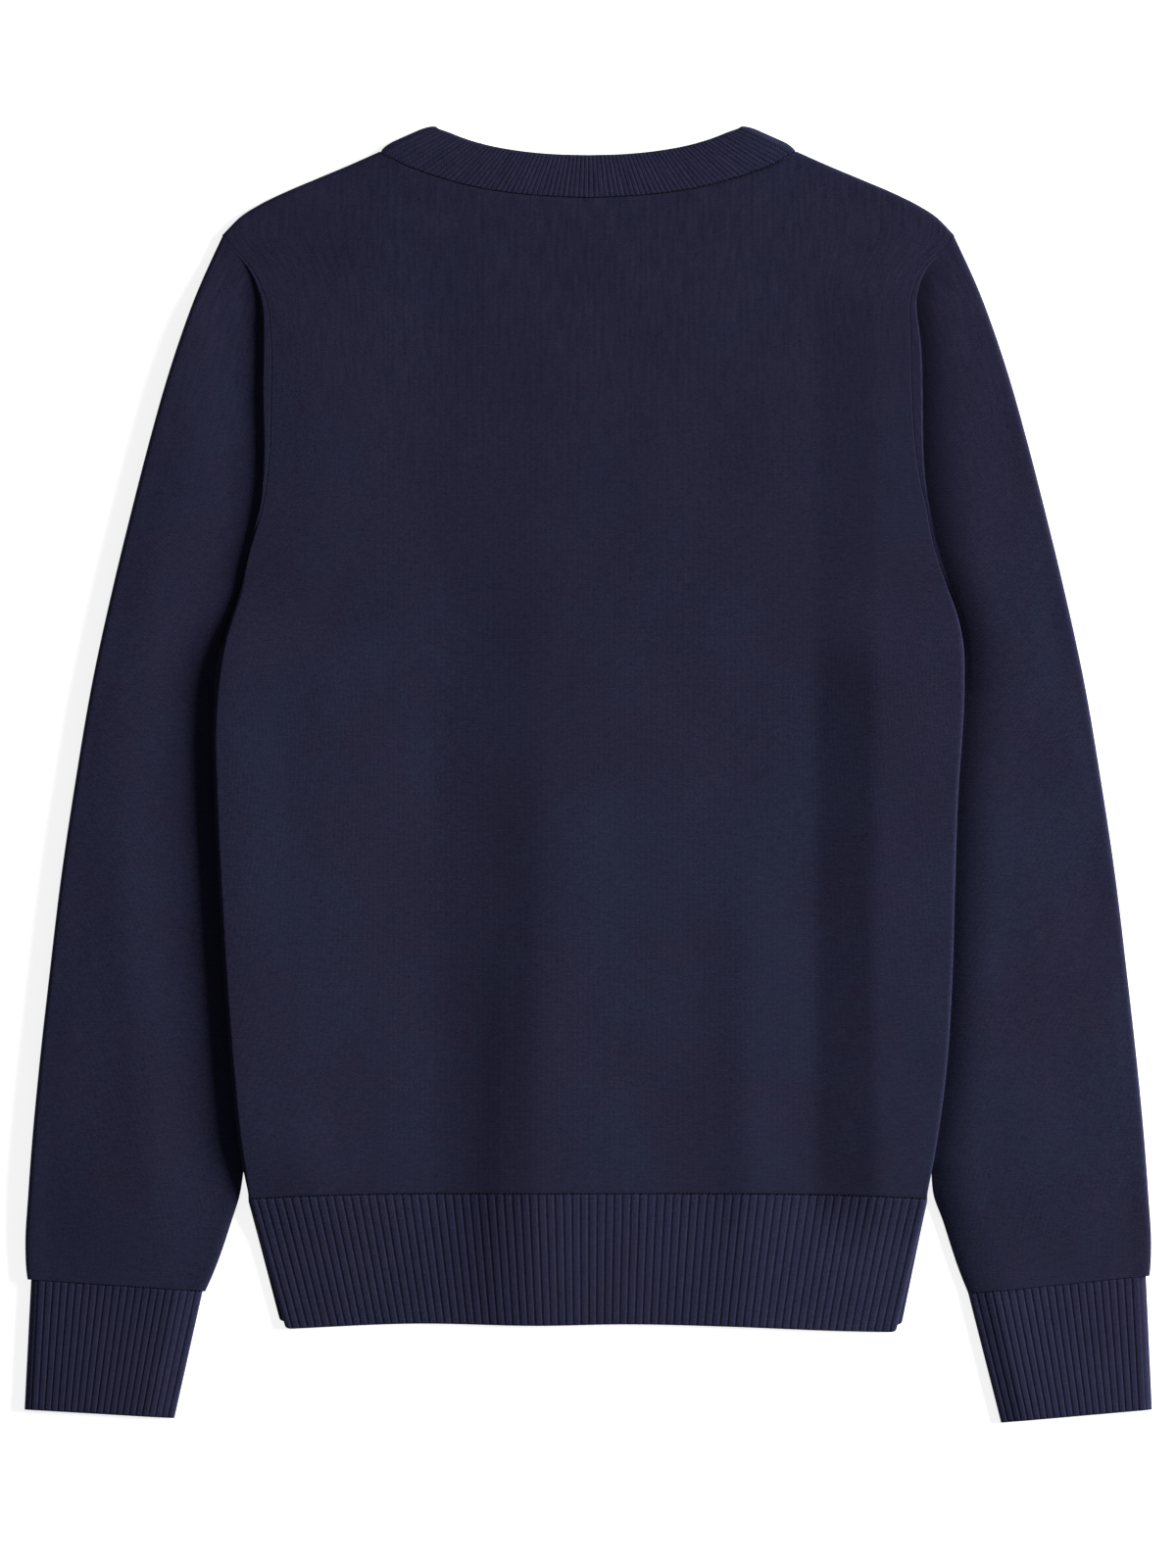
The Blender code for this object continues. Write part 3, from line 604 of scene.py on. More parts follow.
class Effects:
    """Shader node groups that the finishes share; each puts out masks or heights."""

    def __init__(self) -> None:
        """Builds the groups once."""
        self.melange, self.dye, self.loops = self._melange(), self._dye(), self._loops()

    @staticmethod
    def _group(name: str, inputs: Dict[str, Optional[float]],
               outputs: Sequence[str]) -> Tuple[Graph, Outputs, bpy.types.Node]:
        """An empty group with named sockets.

        Args:
            name: the group's name.
            inputs: default of each input; None makes it a vector.
            outputs: names of the outputs, which are numbers.

        Returns:
            The graph, what comes in, and the output node.
        """
        tree = bpy.data.node_groups.new(name, "ShaderNodeTree")
        for label, default in inputs.items():
            kind = "NodeSocketVector" if default is None else "NodeSocketFloat"
            socket = tree.interface.new_socket(label, in_out="INPUT", socket_type=kind)
            if default is not None:
                socket.default_value = default
        for label in outputs:
            tree.interface.new_socket(label, in_out="OUTPUT", socket_type="NodeSocketFloat")
        start, end = (tree.nodes.new(f"NodeGroup{way}") for way in ("Input", "Output"))
        return Graph(tree), start.outputs, end

    def _melange(self) -> bpy.types.NodeTree:
        """Uneven yarn, as a brightness near 1: specks, short streaks along the courses, and
        streaks along the wales that grow towards the shoulders. Each is (noise - 0.5) times
        its strength."""
        g, start, end = self._group(
            "melange", {"Wales": None, "Specks": 0.5, "Streaks": 0.5}, ["Brightness"])
        place = g.place()
        upper = g.step(g.parts(place)["Y"], 0.06, 0.30)
        courses = g.noise(start["Wales"], (150.0, 700.0, 1.0), 2.0)
        wales = g.noise(start["Wales"], (430.0, 60.0, 1.0), 1.0)
        growth = g.math("MULTIPLY_ADD", upper, 0.5, 1.0)
        specks = g.swing(g.noise(place, (820.0, 820.0, 300.0), 1.0), start["Specks"])
        streaks = g.swing(g.mix(upper, courses, wales),
                          g.math("MULTIPLY", start["Streaks"], growth))
        g.fill(end, {"Brightness": g.math("ADD", g.math("ADD", specks, streaks), 1.0)})
        return g.tree

    def _dye(self) -> bpy.types.NodeTree:
        """Uneven dye with painted shade: 0 is the purple side and 1 the blue side. Broad patches
        plus smaller blots, and purple grows towards the neck; the second output is a random tone
        times painted shade that darkens that upper part a little."""
        g, _, end = self._group("dye", {}, ["Blue", "Depth"])
        place = g.place()
        upper = g.step(g.parts(place)["Y"], -0.10, 0.26)
        broad, blots, cloud = (g.noise(place, scale, detail) for scale, detail in (
            ((13.0, 9.0, 9.0), 1.0), ((75.0, 75.0, 75.0), 2.0), ((26.0, 20.0, 20.0), 2.0)))
        both = g.math("MULTIPLY_ADD", broad, 0.6, g.math("MULTIPLY", blots, 0.4))
        shifted = g.math("MULTIPLY_ADD", upper, -0.10, both)
        pale = g.math("ADD", g.swing(cloud, 0.28), 1.0)
        # the first output is dye; the second is a random tone times painted shade, darker towards
        # the neck
        g.fill(end, {"Blue": g.step(shifted, 0.37, 0.59),
                     "Depth": g.math("MULTIPLY_ADD", upper, -0.13, pale)})
        return g.tree

    def _loops(self) -> bpy.types.NodeTree:
        """Stockinette loops: each wale is a column of V's, a sine of the courses whose
        phase rises from the wale's middle to its sides, times a round across the wale.
        Height is for the bump; the second output, 1 - Height, is painted shade for the gaps."""
        g, start, end = self._group(
            "knit_loops", {"Place": None, "Wale": 1.4, "Course": 1.1}, ["Height", "Gaps"])
        place = g.parts(start["Place"])
        middle = g.math("PINGPONG", g.math("DIVIDE", place["X"], start["Wale"]), 0.5)
        course = g.math("DIVIDE", place["Y"], start["Course"])
        slant = g.math("MULTIPLY_ADD", middle, -1.1, course)
        wave, across = (g.math("SINE", g.math("MULTIPLY", value, 2.0 * np.pi))
                        for value in (slant, middle))
        height = g.math("MULTIPLY", g.math("MULTIPLY_ADD", wave, 0.5, 0.5),
                        g.math("ABSOLUTE", across))
        g.fill(end, {"Height": height, "Gaps": g.math("SUBTRACT", 1.0, height)})
        return g.tree


@dataclass(frozen=True)
class KnitFinish:
    """Matt navy yarn, knitted: colours are linear, pitches and loop_depth are in mm.

    blue_tint keeps the blue channel steadier than the others: a factor and what is added.
    """

    name: str
    purple: Triple
    blue: Triple
    wale: float
    course: float
    loop_depth: float
    fuzz_depth: float = 0.00012
    roughness: float = 0.95
    sheen: float = 0.02
    streaks: float = 0.72
    specks: float = 1.05
    # how strongly painted shade darkens the colour in the gaps between the loops
    gaps: float = 0.22
    blue_tint: Pair = (0.62, 0.32)

    def material(self, effects: Effects) -> bpy.types.Material:
        """Builds the material.

        Args:
            effects: the shared groups.

        Returns:
            A material that reads the piece's own wales UV map and Object coordinates.
        """
        made = bpy.data.materials.new(self.name)
        made.use_nodes = True
        g = Graph(made.node_tree)
        uv = g.add("UVMap", {})
        uv.uv_map = UV_NAME
        wales = uv.outputs["UV"]
        loops = g.group(effects.loops, {"Place": wales, "Wale": self.wale * MM,
                                        "Course": self.course * MM})
        melange = g.group(effects.melange, {"Wales": wales, "Streaks": self.streaks,
                                            "Specks": self.specks})
        dye = g.group(effects.dye, {})
        # painted shade: the gaps between the loops are made darker in the base colour
        gaps = g.math("MULTIPLY_ADD", loops["Gaps"], -self.gaps, 1.0)
        # painted shade: the colour is made darker towards the neck
        bright = g.math("MULTIPLY", melange["Brightness"], g.math("MULTIPLY", dye["Depth"], gaps))
        hue = g.add("Mix", {})
        hue.data_type = "RGBA"
        for index, value in ((0, dye["Blue"]), (6, (*self.purple, 1.0)), (7, (*self.blue, 1.0))):
            g.put(hue.inputs[index], value)
        tint = g.add("CombineXYZ", {"X": bright, "Y": bright,
                                    "Z": g.math("MULTIPLY_ADD", bright, *self.blue_tint)})
        scaled = g.add("VectorMath", {})
        scaled.operation = "MULTIPLY"
        for socket, value in zip(scaled.inputs, (hue.outputs[2], tint.outputs["Vector"])):
            g.put(socket, value)
        hairs = g.noise(g.place(), (2200.0, 2200.0, 2200.0), 2.0)
        bump = g.add("Bump", {"Height": loops["Height"], "Distance": self.loop_depth * MM,
                              "Strength": 0.7})
        fuzz = g.add("Bump", {"Height": hairs, "Distance": self.fuzz_depth, "Strength": 0.6,
                              "Normal": bump.outputs["Normal"]})
        g.fill(made.node_tree.nodes["Principled BSDF"], {
            "Base Color": scaled.outputs["Vector"], "Roughness": self.roughness,
            "Sheen Weight": self.sheen, "Sheen Roughness": 0.6,
            "Sheen Tint": (0.55, 0.6, 0.9, 1.0), "Specular IOR Level": 0.18,
            "Normal": fuzz.outputs["Normal"]})
        return made


KNIT = KnitFinish("navy_stockinette", purple=(0.0181, 0.0158, 0.0443),
                  blue=(0.0158, 0.0183, 0.0480), wale=1.35, course=1.05, loop_depth=0.12)
RIB = KnitFinish("navy_rib", purple=(0.0213, 0.0196, 0.0535),
                 blue=(0.0194, 0.0219, 0.0570), wale=1.5, course=1.1, loop_depth=0.18)
SEAM_YARN = KnitFinish("navy_seam_yarn", purple=(0.0085, 0.0080, 0.0200),
                       blue=(0.0080, 0.0090, 0.0210), wale=0.6, course=0.6, loop_depth=0.05)


# ---- the knitted pieces ----

@dataclass
class Piece:
    """What every knitted piece shares: the lay, how it is hung under the root and how it is
    dressed.
    """

    lay: Lay
    effects: Effects

    def declare(self, piece: bpy.types.Object, node: str, finish: KnitFinish, slot: str,
                flat: Pair, area: float, rests_on: List[str]) -> None:
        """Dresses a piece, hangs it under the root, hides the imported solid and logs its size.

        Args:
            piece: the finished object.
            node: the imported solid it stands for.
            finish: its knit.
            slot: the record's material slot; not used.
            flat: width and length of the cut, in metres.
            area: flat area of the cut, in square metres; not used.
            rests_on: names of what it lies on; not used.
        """
        piece.data.materials.append(finish.material(self.effects))
        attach(piece, "root")
        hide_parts(node)
        LOG.info("%s: %d faces, cut %.0f x %.0f mm", piece.name, len(piece.data.polygons),
                 flat[0] / MM, flat[1] / MM)

    def link_row(self, place: str, seam: Array, tops: Array, way: Array,
                 size: Triple, lean: float = 0.5, above: float = 0.35) -> None:
        """Two small linking stitches over each rib of a seam.

        Args:
            place: what the row is on, for its name.
            seam: one place a stitch, in mm.
            tops: height of the ribs at each place.
            way: direction of the seam, one for all or one a stitch.
            size: half length, half width and half height of a stitch.
            lean: turn of each stitch from the seam, in radians.
            above: how far the row lies past the seam.
        """
        centres = stack(seam[:, 0], seam[:, 1] + above, tops - 0.1)
        way = np.broadcast_to(way, (len(centres), 2))
        piece = stitch_row(f"linking_{place}", centres, way, size, lean)
        piece.data.materials.append(SEAM_YARN.material(self.effects))
        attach(piece, "root")
        LOG.info("%s: %d faces", piece.name, len(piece.data.polygons))


def unevenness(x: Array, y: Array) -> Array:
    """Soft waviness of resting knit, in mm: four slow sines that cross one another."""
    return (0.16 * np.sin(x / 23.0 + 0.7 * np.sin(y / 61.0)) * np.sin(y / 47.0 + 0.8)
            + 0.12 * np.sin(x / 11.0 + y / 83.0) * np.sin(y / 29.0 - x / 71.0)
            + 0.10 * np.sin(x / 37.0 - 1.3) * np.sin(y / 19.0 + x / 53.0))


@dataclass
class BodyPanels(Piece):
    """Back and front, each knitted in one panel with shaped armholes and shoulders."""

    columns: int = 171
    rows: int = 231
    front_columns: int = 91
    front_rows: int = 121
    cut: Pair = (0.422, 0.588)
    tip_overlap: float = 0.45
    fine_steps: Tuple[float, ...] = (0.0008, 0.002, 0.004, 0.007)

    def grid(self, columns: int, rows: int, top_line: Callable[[Array], Array],
             drop: float = 0.0) -> Tuple[Array, Array, Array, Array]:
        """Places of a panel's points: columns are wales, kept straight beside the neck.

        Args:
            columns: even columns.
            rows: even rows.
            top_line: level of the upper edge at a distance from the middle.
            drop: how far the lower edge lies below the back's hem seam.

        Returns:
            x, y, the upper edge's level and the share of the half width.
        """
        lay = self.lay
        u = fine_ends(columns, self.fine_steps)[None, :] * 2.0 - 1.0
        u = np.unique(np.append(u, [-lay.neck_x / lay.shoulder_x, 0.0,
                                    lay.neck_x / lay.shoulder_x]))[None, :]
        top = top_line(u * lay.shoulder_x)
        low = lay.hem_seam(u) - drop
        y = low + (top - low) * fine_ends(rows, self.fine_steps[:3])[:, None]
        beside = np.clip((np.abs(u) * lay.shoulder_x - lay.neck_x)
                         / (lay.shoulder_x - lay.neck_x), 0.0, 1.0)
        narrowing = lay.shoulder_x - lay.half_at(u + 0.0 * y, y)
        narrowing = narrowing - self.tip_overlap * rounded_step(y, 284.0, 297.0)
        return u * lay.shoulder_x - np.sign(u) * narrowing * beside, y, top, u

    def back_top(self, x: Array) -> Array:
        """Shoulder line, then the neck seam."""
        lay = self.lay
        return np.where(np.abs(x) < lay.neck_x - 0.01, lay.neck_seam(x) - lay.seam,
                        lay.shoulder(x) - lay.seam)

    def front_top(self, x: Array) -> Array:
        """Shoulder line, then straight down to the point of the V."""
        lay = self.lay
        v_edge = lay.v_point_y + (lay.neck_y - lay.v_point_y) * np.abs(x) / lay.neck_x
        return np.where(np.abs(x) < lay.neck_x - 0.01, v_edge - 2.0 * lay.seam,
                        lay.shoulder(x) - lay.seam)

    def build(self) -> None:
        """Makes the back and the front."""
        self.build_back()
        self.build_front()

    def build_back(self) -> None:
        """The back over the front: lip, side roundness, folds, and rounded edges."""
        lay = self.lay
        x, y, top, u = self.grid(self.columns, self.rows, self.back_top)
        lower = lay.front_lift(x, y) + lay.layer_step + lay.puff(x, y, top)
        inside = lay.half_at(x, y) - np.abs(x)
        side_fold = 1.0 - rounded_step(y, *lay.body_lip)
        wall = lay.wall - edge_drop(inside, 1.1, 0.7) * side_fold
        wall -= edge_drop(inside, *ARMHOLE_EDGE) * (1.0 - side_fold)
        wall -= edge_drop(y - lay.hem_seam(u), *LINKED_EDGE)
        wall -= np.where(np.abs(x) < lay.neck_x, edge_drop(top - y, *LINKED_EDGE),
                         edge_drop(top - y, 3.0, 1.4))
        calm = rounded_step(inside, 0.0, 25.0) * rounded_step(top - y, 0.0, 40.0)
        outer = lower + np.maximum(wall, 0.25) + unevenness(x, y) * calm
        points = stack(x, y, outer)
        piece = wall_piece("back", points, stack(x, y, lower), stack(u * lay.shoulder_x, y))
        self.declare(piece, "back_panel", KNIT, "knit", self.cut, grid_area(points), ["front"])

    def build_front(self) -> None:
        """The front on the surface and over the sleeves' inner edges."""
        lay = self.lay
        x, y, top, u = self.grid(self.front_columns, self.front_rows, self.front_top,
                                 lay.front_link_drop)
        lift = lay.front_lift(x, y)
        points = stack(x, y, lift + lay.wall)
        piece = wall_piece("front", points, stack(x, y, lift), stack(u * lay.shoulder_x, y))
        self.declare(piece, "front_panel", KNIT, "knit", self.cut, grid_area(points), ["floor"])


@dataclass
class HemBands(Piece):
    """Ribbed hem, a band under the back and one under the front."""

    ribs: int = 80
    points_a_rib: int = 9
    front_columns: int = 321
    rows: int = 21
    rib_raise: float = 0.45
    bottom_half: Pair = (170.2, 173.0)
    link_gap: float = 0.08
    front_out: float = 3.2
    front_up: float = 4.0
    half_cut: float = 190.0
    cuts: Tuple[Pair, ...] = ((0.381, 0.0775), (0.381, 0.0735))
    areas: Pair = (0.0275, 0.0265)

    def band(self, columns: Array, ribbed: float, low_out: float, low_raise: float,
             step: float) -> Tuple[Array, Array, Array]:
        """Grids of a band's points.

        Args:
            columns: shares of the half width.
            ribbed: how far the ribs stand up.
            low_out: how much wider the lower edge is than the back's, on each side.
            low_raise: how much higher the lower edge is than the back's.
            step: height of the inner side over the surface.

        Returns:
            The outer grid, the inner grid and the wales' places.
        """
        lay = self.lay
        v = fine_ends(self.rows, (0.004, 0.012, 0.022))[:, None]
        u = columns[None, :]
        top = lay.hem_seam(u) - self.link_gap - (0.0 if step else lay.front_link_drop)
        low_half = np.where(u < 0.0, *self.bottom_half)
        low = lay.hem_edge(u * low_half) + low_raise
        low = low + edge_drop((1.0 - np.abs(u)) * low_half, 4.0, 2.0)
        y = low + (top - low) * v
        top_half = lay.half_at(u, 0.0 * u + lay.hem_seam_y)
        half = low_half + low_out + (top_half - low_half - low_out) * v
        x = u * half
        inside = half - np.abs(x)
        folds = lay.fold_lift(x, lay.hem_seam_y + 0.0 * y) * rounded_step(inside, *lay.fold_fade)
        lower = lay.front_lift(x, y) + (step + folds * (0.45 + 0.55 * v) if step else 0.0)
        form = rib_form((u + 1.0) / 2.0 * self.ribs)
        rise = ribbed * form * (1.0 - 0.35 * edge_drop(top - y, 2.0, 1.0))
        drops = band_ends(y - low, top - y) + edge_drop(inside, *BAND_SIDE)
        outer = lower + np.maximum(lay.wall - 0.75 * ribbed + rise - drops, 0.2)
        return stack(x, y, outer), stack(x, y, lower), stack(u * self.half_cut, y)

    def build(self) -> None:
        """Makes both bands and the row of linking stitches over the back one."""
        u = np.linspace(-1.0, 1.0, self.ribs * self.points_a_rib + 1)
        outer, inner, wales = self.band(u, self.rib_raise, 0.0, 0.0, self.lay.layer_step)
        piece = wall_piece("hem_rib_back", outer, inner, wales)
        self.declare(piece, "hem_band_back", RIB, "rib", self.cuts[0], self.areas[0],
                     ["hem_rib_front"])
        pick = np.arange(2, u.size - 2, self.points_a_rib // 2)
        self.link_row("hem", outer[-1, pick], outer[-3, pick, 2], np.array([1.0, 0.0]),
                      (0.95, 0.42, 0.4))
        u = fine_ends(self.front_columns, (0.001, 0.003)) * 2.0 - 1.0
        outer, inner, wales = self.band(u, 0.0, self.front_out, self.front_up, 0.0)
        piece = wall_piece("hem_rib_front", outer, inner, wales)
        self.declare(piece, "hem_band_front", RIB, "rib", self.cuts[1], self.areas[1], ["floor"])


@dataclass
class Sleeve(Piece):
    """One sleeve: a panel folded along its outer edge, seamed under the arm.

    valley_fall is where the lip at the armhole falls, from the seam. valley_low and
    valley_high say how far past the body's side the sleeve starts to rise and over how much
    width, below and above the levels of valley_y. steep is the share of a rise that starts
    steeply.
    """

    side: Side = Side.LEFT
    cut: Pair = (0.31, 0.588)
    dome: float = 3.9
    cuff_droop: float = 0.45
    cuff_tilt: float = 6.9
    cuff_y: float = -283.5
    top_y: float = 297.3
    top_tilt: float = 4.8
    valley_lip: Pair = (100.0, 150.0)
    valley_fall: Pair = (4.2, 7.5)
    valley_high: Pair = (8.0, 50.0)
    valley_low: Pair = (4.0, 55.0)
    valley_y: Pair = (110.0, 225.0)
    steep: float = 0.0
    rows: int = 221
    over: int = 79
    under: int = 31
    turn_points: int = 21
    fold_turn: float = 3.6
    allowance: float = 3.0
    squareness: float = 0.6

    def closeness(self, y: Array) -> Array:
        """Share of valley_fall that holds at a level: the lip is narrower at both ends."""
        high = np.maximum(rounded_step(y, *self.valley_y), 0.25)
        return high * (1.0 - 0.6 * rounded_step(y, 225.0, 285.0))

    def upper(self, x: Array, y: Array, inner: Array) -> Array:
        """Inner height of the upper layer: lip at the seam, valley, then the crest.

        With t the share of the rise, the crest comes up by steep * (1 - (1 - t)^3)
        + (1 - steep) * (3t^2 - 2t^3).

        Args:
            x: distances from the middle.
            y: levels of the same points.
            inner: distance of the sleeve's inner edge in each row.

        Returns:
            Height in mm at each point.
        """
        lay, side = self.lay, self.side.word
        armhole = rounded_step(y, *self.valley_lip) * (1.0 - rounded_step(y, *lay.lip_top))
        high = rounded_step(y, *self.valley_y)
        near, far = (reach * self.closeness(y) for reach in self.valley_fall)
        lip = lay.armhole_lip[side] * (1.0 - rounded_step(x - inner, near, far)) * armhole
        away, rise = (a + (b - a) * high for a, b in zip(self.valley_low, self.valley_high))
        width = through(y, lay.sleeve_fold, "y", "x") - inner
        start = np.maximum(lay.half(y, side) + away * rounded_step(width, 20.0, 70.0),
                           inner + 2.0)
        crest = self.dome * (1.0 - self.cuff_droop * rounded_step(y, -220.0, -283.0))
        share = np.clip((x - start) / rise, 0.0, 1.0)
        dome = crest * (self.steep * (1.0 - (1.0 - share) ** 3)
                        + (1.0 - self.steep) * rounded_step(share, 0.0, 1.0))
        return lay.layer_step + np.maximum(lip, dome * rounded_step(width, 8.0, 50.0))

    def build(self) -> None:
        """Makes the sleeve as rows from cuff to shoulder, each a flattened tube's section:
        upper layer, half ellipse round the fold, lower layer."""
        lay, side = self.lay, self.side.word
        fold_y = self.cuff_y + (self.top_y - self.cuff_y) * fine_ends(
            self.rows, (0.0008, 0.002))[:, None]
        seam_y = fold_y - self.cuff_tilt * rounded_step(fold_y, -205.0, self.cuff_y)
        fold_y = fold_y + self.top_tilt * rounded_step(fold_y, 262.0, self.top_y)
        inner = lay.sleeve_inner(seam_y, side)
        outer = through(fold_y, lay.sleeve_fold, "y", "x")
        turn = np.minimum(self.fold_turn, 0.4 * (outer - inner))
        flat_end = outer - turn
        over = inner + (flat_end - inner) * fine_ends(self.over, (0.001, 0.003, 0.006))[None, :]
        tuck_in = self.allowance * rounded_step(seam_y, *UNDERARM) + 0.04
        near, far = self.valley_fall
        cliff = inner + np.minimum(self.closeness(seam_y) * np.array([[near - 0.1, far + 0.1]]),
                                   (flat_end - inner) * np.array([[0.42, 0.58]]))
        over = np.hstack([inner - tuck_in, inner - 0.02, np.sort(np.hstack([over, cliff]), 1)])

        def level(x: Array) -> Array:
            """Level of a row at a distance from the middle: rows tilt from seam to fold."""
            return seam_y + (fold_y - seam_y) * (x - inner) / (outer - inner)

        height = self.upper(over, level(over), inner)
        below = 1.0 - rounded_step(level(over), *UNDERARM)
        wall = (lay.wall - edge_drop(over - inner, 4.0, 1.5) * below
                - edge_drop(over - inner, *ARMHOLE_EDGE) * (1.0 - below)
                - edge_drop(level(over) - seam_y[0, 0], *LINKED_EDGE))
        calm = rounded_step(over - inner, 10.0, 40.0) * rounded_step(over, flat_end, flat_end - 9)
        top = height + wall + unevenness(over * 1.3, level(over)) * calm
        top[:, :2], height[:, :2] = height[:, :2] - 0.05, height[:, :2] - 0.2
        x_out, z_out, x_in, z_in = folded_tube(
            over, inner, flat_end, turn, (top, height), (top[:, -1:], height[:, -1:]), lay.wall,
            (self.turn_points, self.under), self.squareness)
        sign = self.side.value
        points = stack(sign * x_out, level(x_out), z_out)
        steps = np.hypot(np.diff(x_out, axis=1), np.diff(z_out, axis=1))
        along = np.hstack([0.0 * inner, np.cumsum(steps, axis=1)])
        wales = stack(along - along[:, over.shape[1] - 1:over.shape[1]], level(x_out))
        grids = [points, stack(sign * x_in, level(x_in), z_in), wales]
        piece = wall_piece(f"sleeve_{side}_knit", *self.side.turned(grids))
        self.declare(piece, f"sleeve_{side}", KNIT, "knit", self.cut, grid_area(points),
                     ["floor"])


@dataclass
class Cuff(Piece):
    """One ribbed cuff, lofted between its seam line and its edge, folded like a sleeve."""

    side: Side = Side.LEFT
    cut: Pair = (0.184, 0.0745)
    ribs: int = 22
    points_a_rib: int = 10
    rib_raise: float = 0.45
    height: float = 6.0
    turn: float = 4.0
    rows: int = 25
    under: int = 41
    turn_points: int = 17
    seam_out: Pair = (312.5, -283.5)
    seam_in: Pair = (216.4, -290.4)
    end_out: Pair = (316.2, -356.6)
    end_in: Pair = (232.2, -361.5)

    def build(self) -> None:
        """Makes the cuff: rows from edge to seam, ribs on the side that shows."""
        lay = self.lay
        v = fine_ends(self.rows, (0.004, 0.012, 0.022))[:, None]
        seam_gap = np.array([0.0, lay.seam])
        out_line = np.array(self.end_out) * (1 - v) + (np.array(self.seam_out) - seam_gap) * v
        in_line = np.array(self.end_in) * (1 - v) + (np.array(self.seam_in) - seam_gap) * v
        width = np.linalg.norm(out_line - in_line, axis=1)[:, None]
        flat_end = width - self.turn
        u = np.linspace(0.0, 1.0, self.ribs * self.points_a_rib + 1)[None, :]
        over = u * flat_end
        swell = (self.height - lay.wall - lay.layer_step) * rounded_step(over, 0.0, 16.0)
        upper = lay.layer_step + swell
        form = rib_form(u * self.ribs)
        length = np.linalg.norm(np.array(self.seam_out) - np.array(self.end_out))
        drops = band_ends(v * length, (1 - v) * length) + edge_drop(over, *BAND_SIDE)
        top = upper + np.maximum(lay.wall + self.rib_raise * (form - 0.75) - drops, 0.2)
        ends = (top[:, -1:] + 0.5 * self.rib_raise, upper[:, -1:])
        reach_out, z_out, reach_in, z_in = folded_tube(
            over, 0.0, flat_end, self.turn, (top, upper), ends, lay.wall,
            (self.turn_points, self.under))
        sign = self.side.value
        grids = []
        for reach, z in ((reach_out, z_out), (reach_in, z_in)):
            share = reach / width
            place = in_line[:, None, :] + (out_line - in_line)[:, None, :] * share[:, :, None]
            grids.append(stack(sign * place[:, :, 0], place[:, :, 1], z))
        turned = np.hstack([0.0 * width, np.cumsum(np.abs(np.diff(reach_out, axis=1)), axis=1)])
        grids.append(stack(turned, v * length))
        outer = grids[0]
        piece = wall_piece(f"cuff_{self.side.word}_rib", *self.side.turned(grids))
        area = min(grid_area(outer), 0.98 * self.cut[0] * self.cut[1])
        self.declare(piece, f"cuff_{self.side.word}", RIB, "rib", self.cut, area, ["floor"])
        pick = np.arange(3, u.size - 2, self.points_a_rib // 2)
        way = out_line[-1] - in_line[-1]
        way = np.array([sign * way[0], way[1]]) / np.linalg.norm(way)
        self.link_row(f"cuff_{self.side.word}", outer[-1, pick], outer[-3, pick, 2], way,
                      (0.85, 0.4, 0.4))


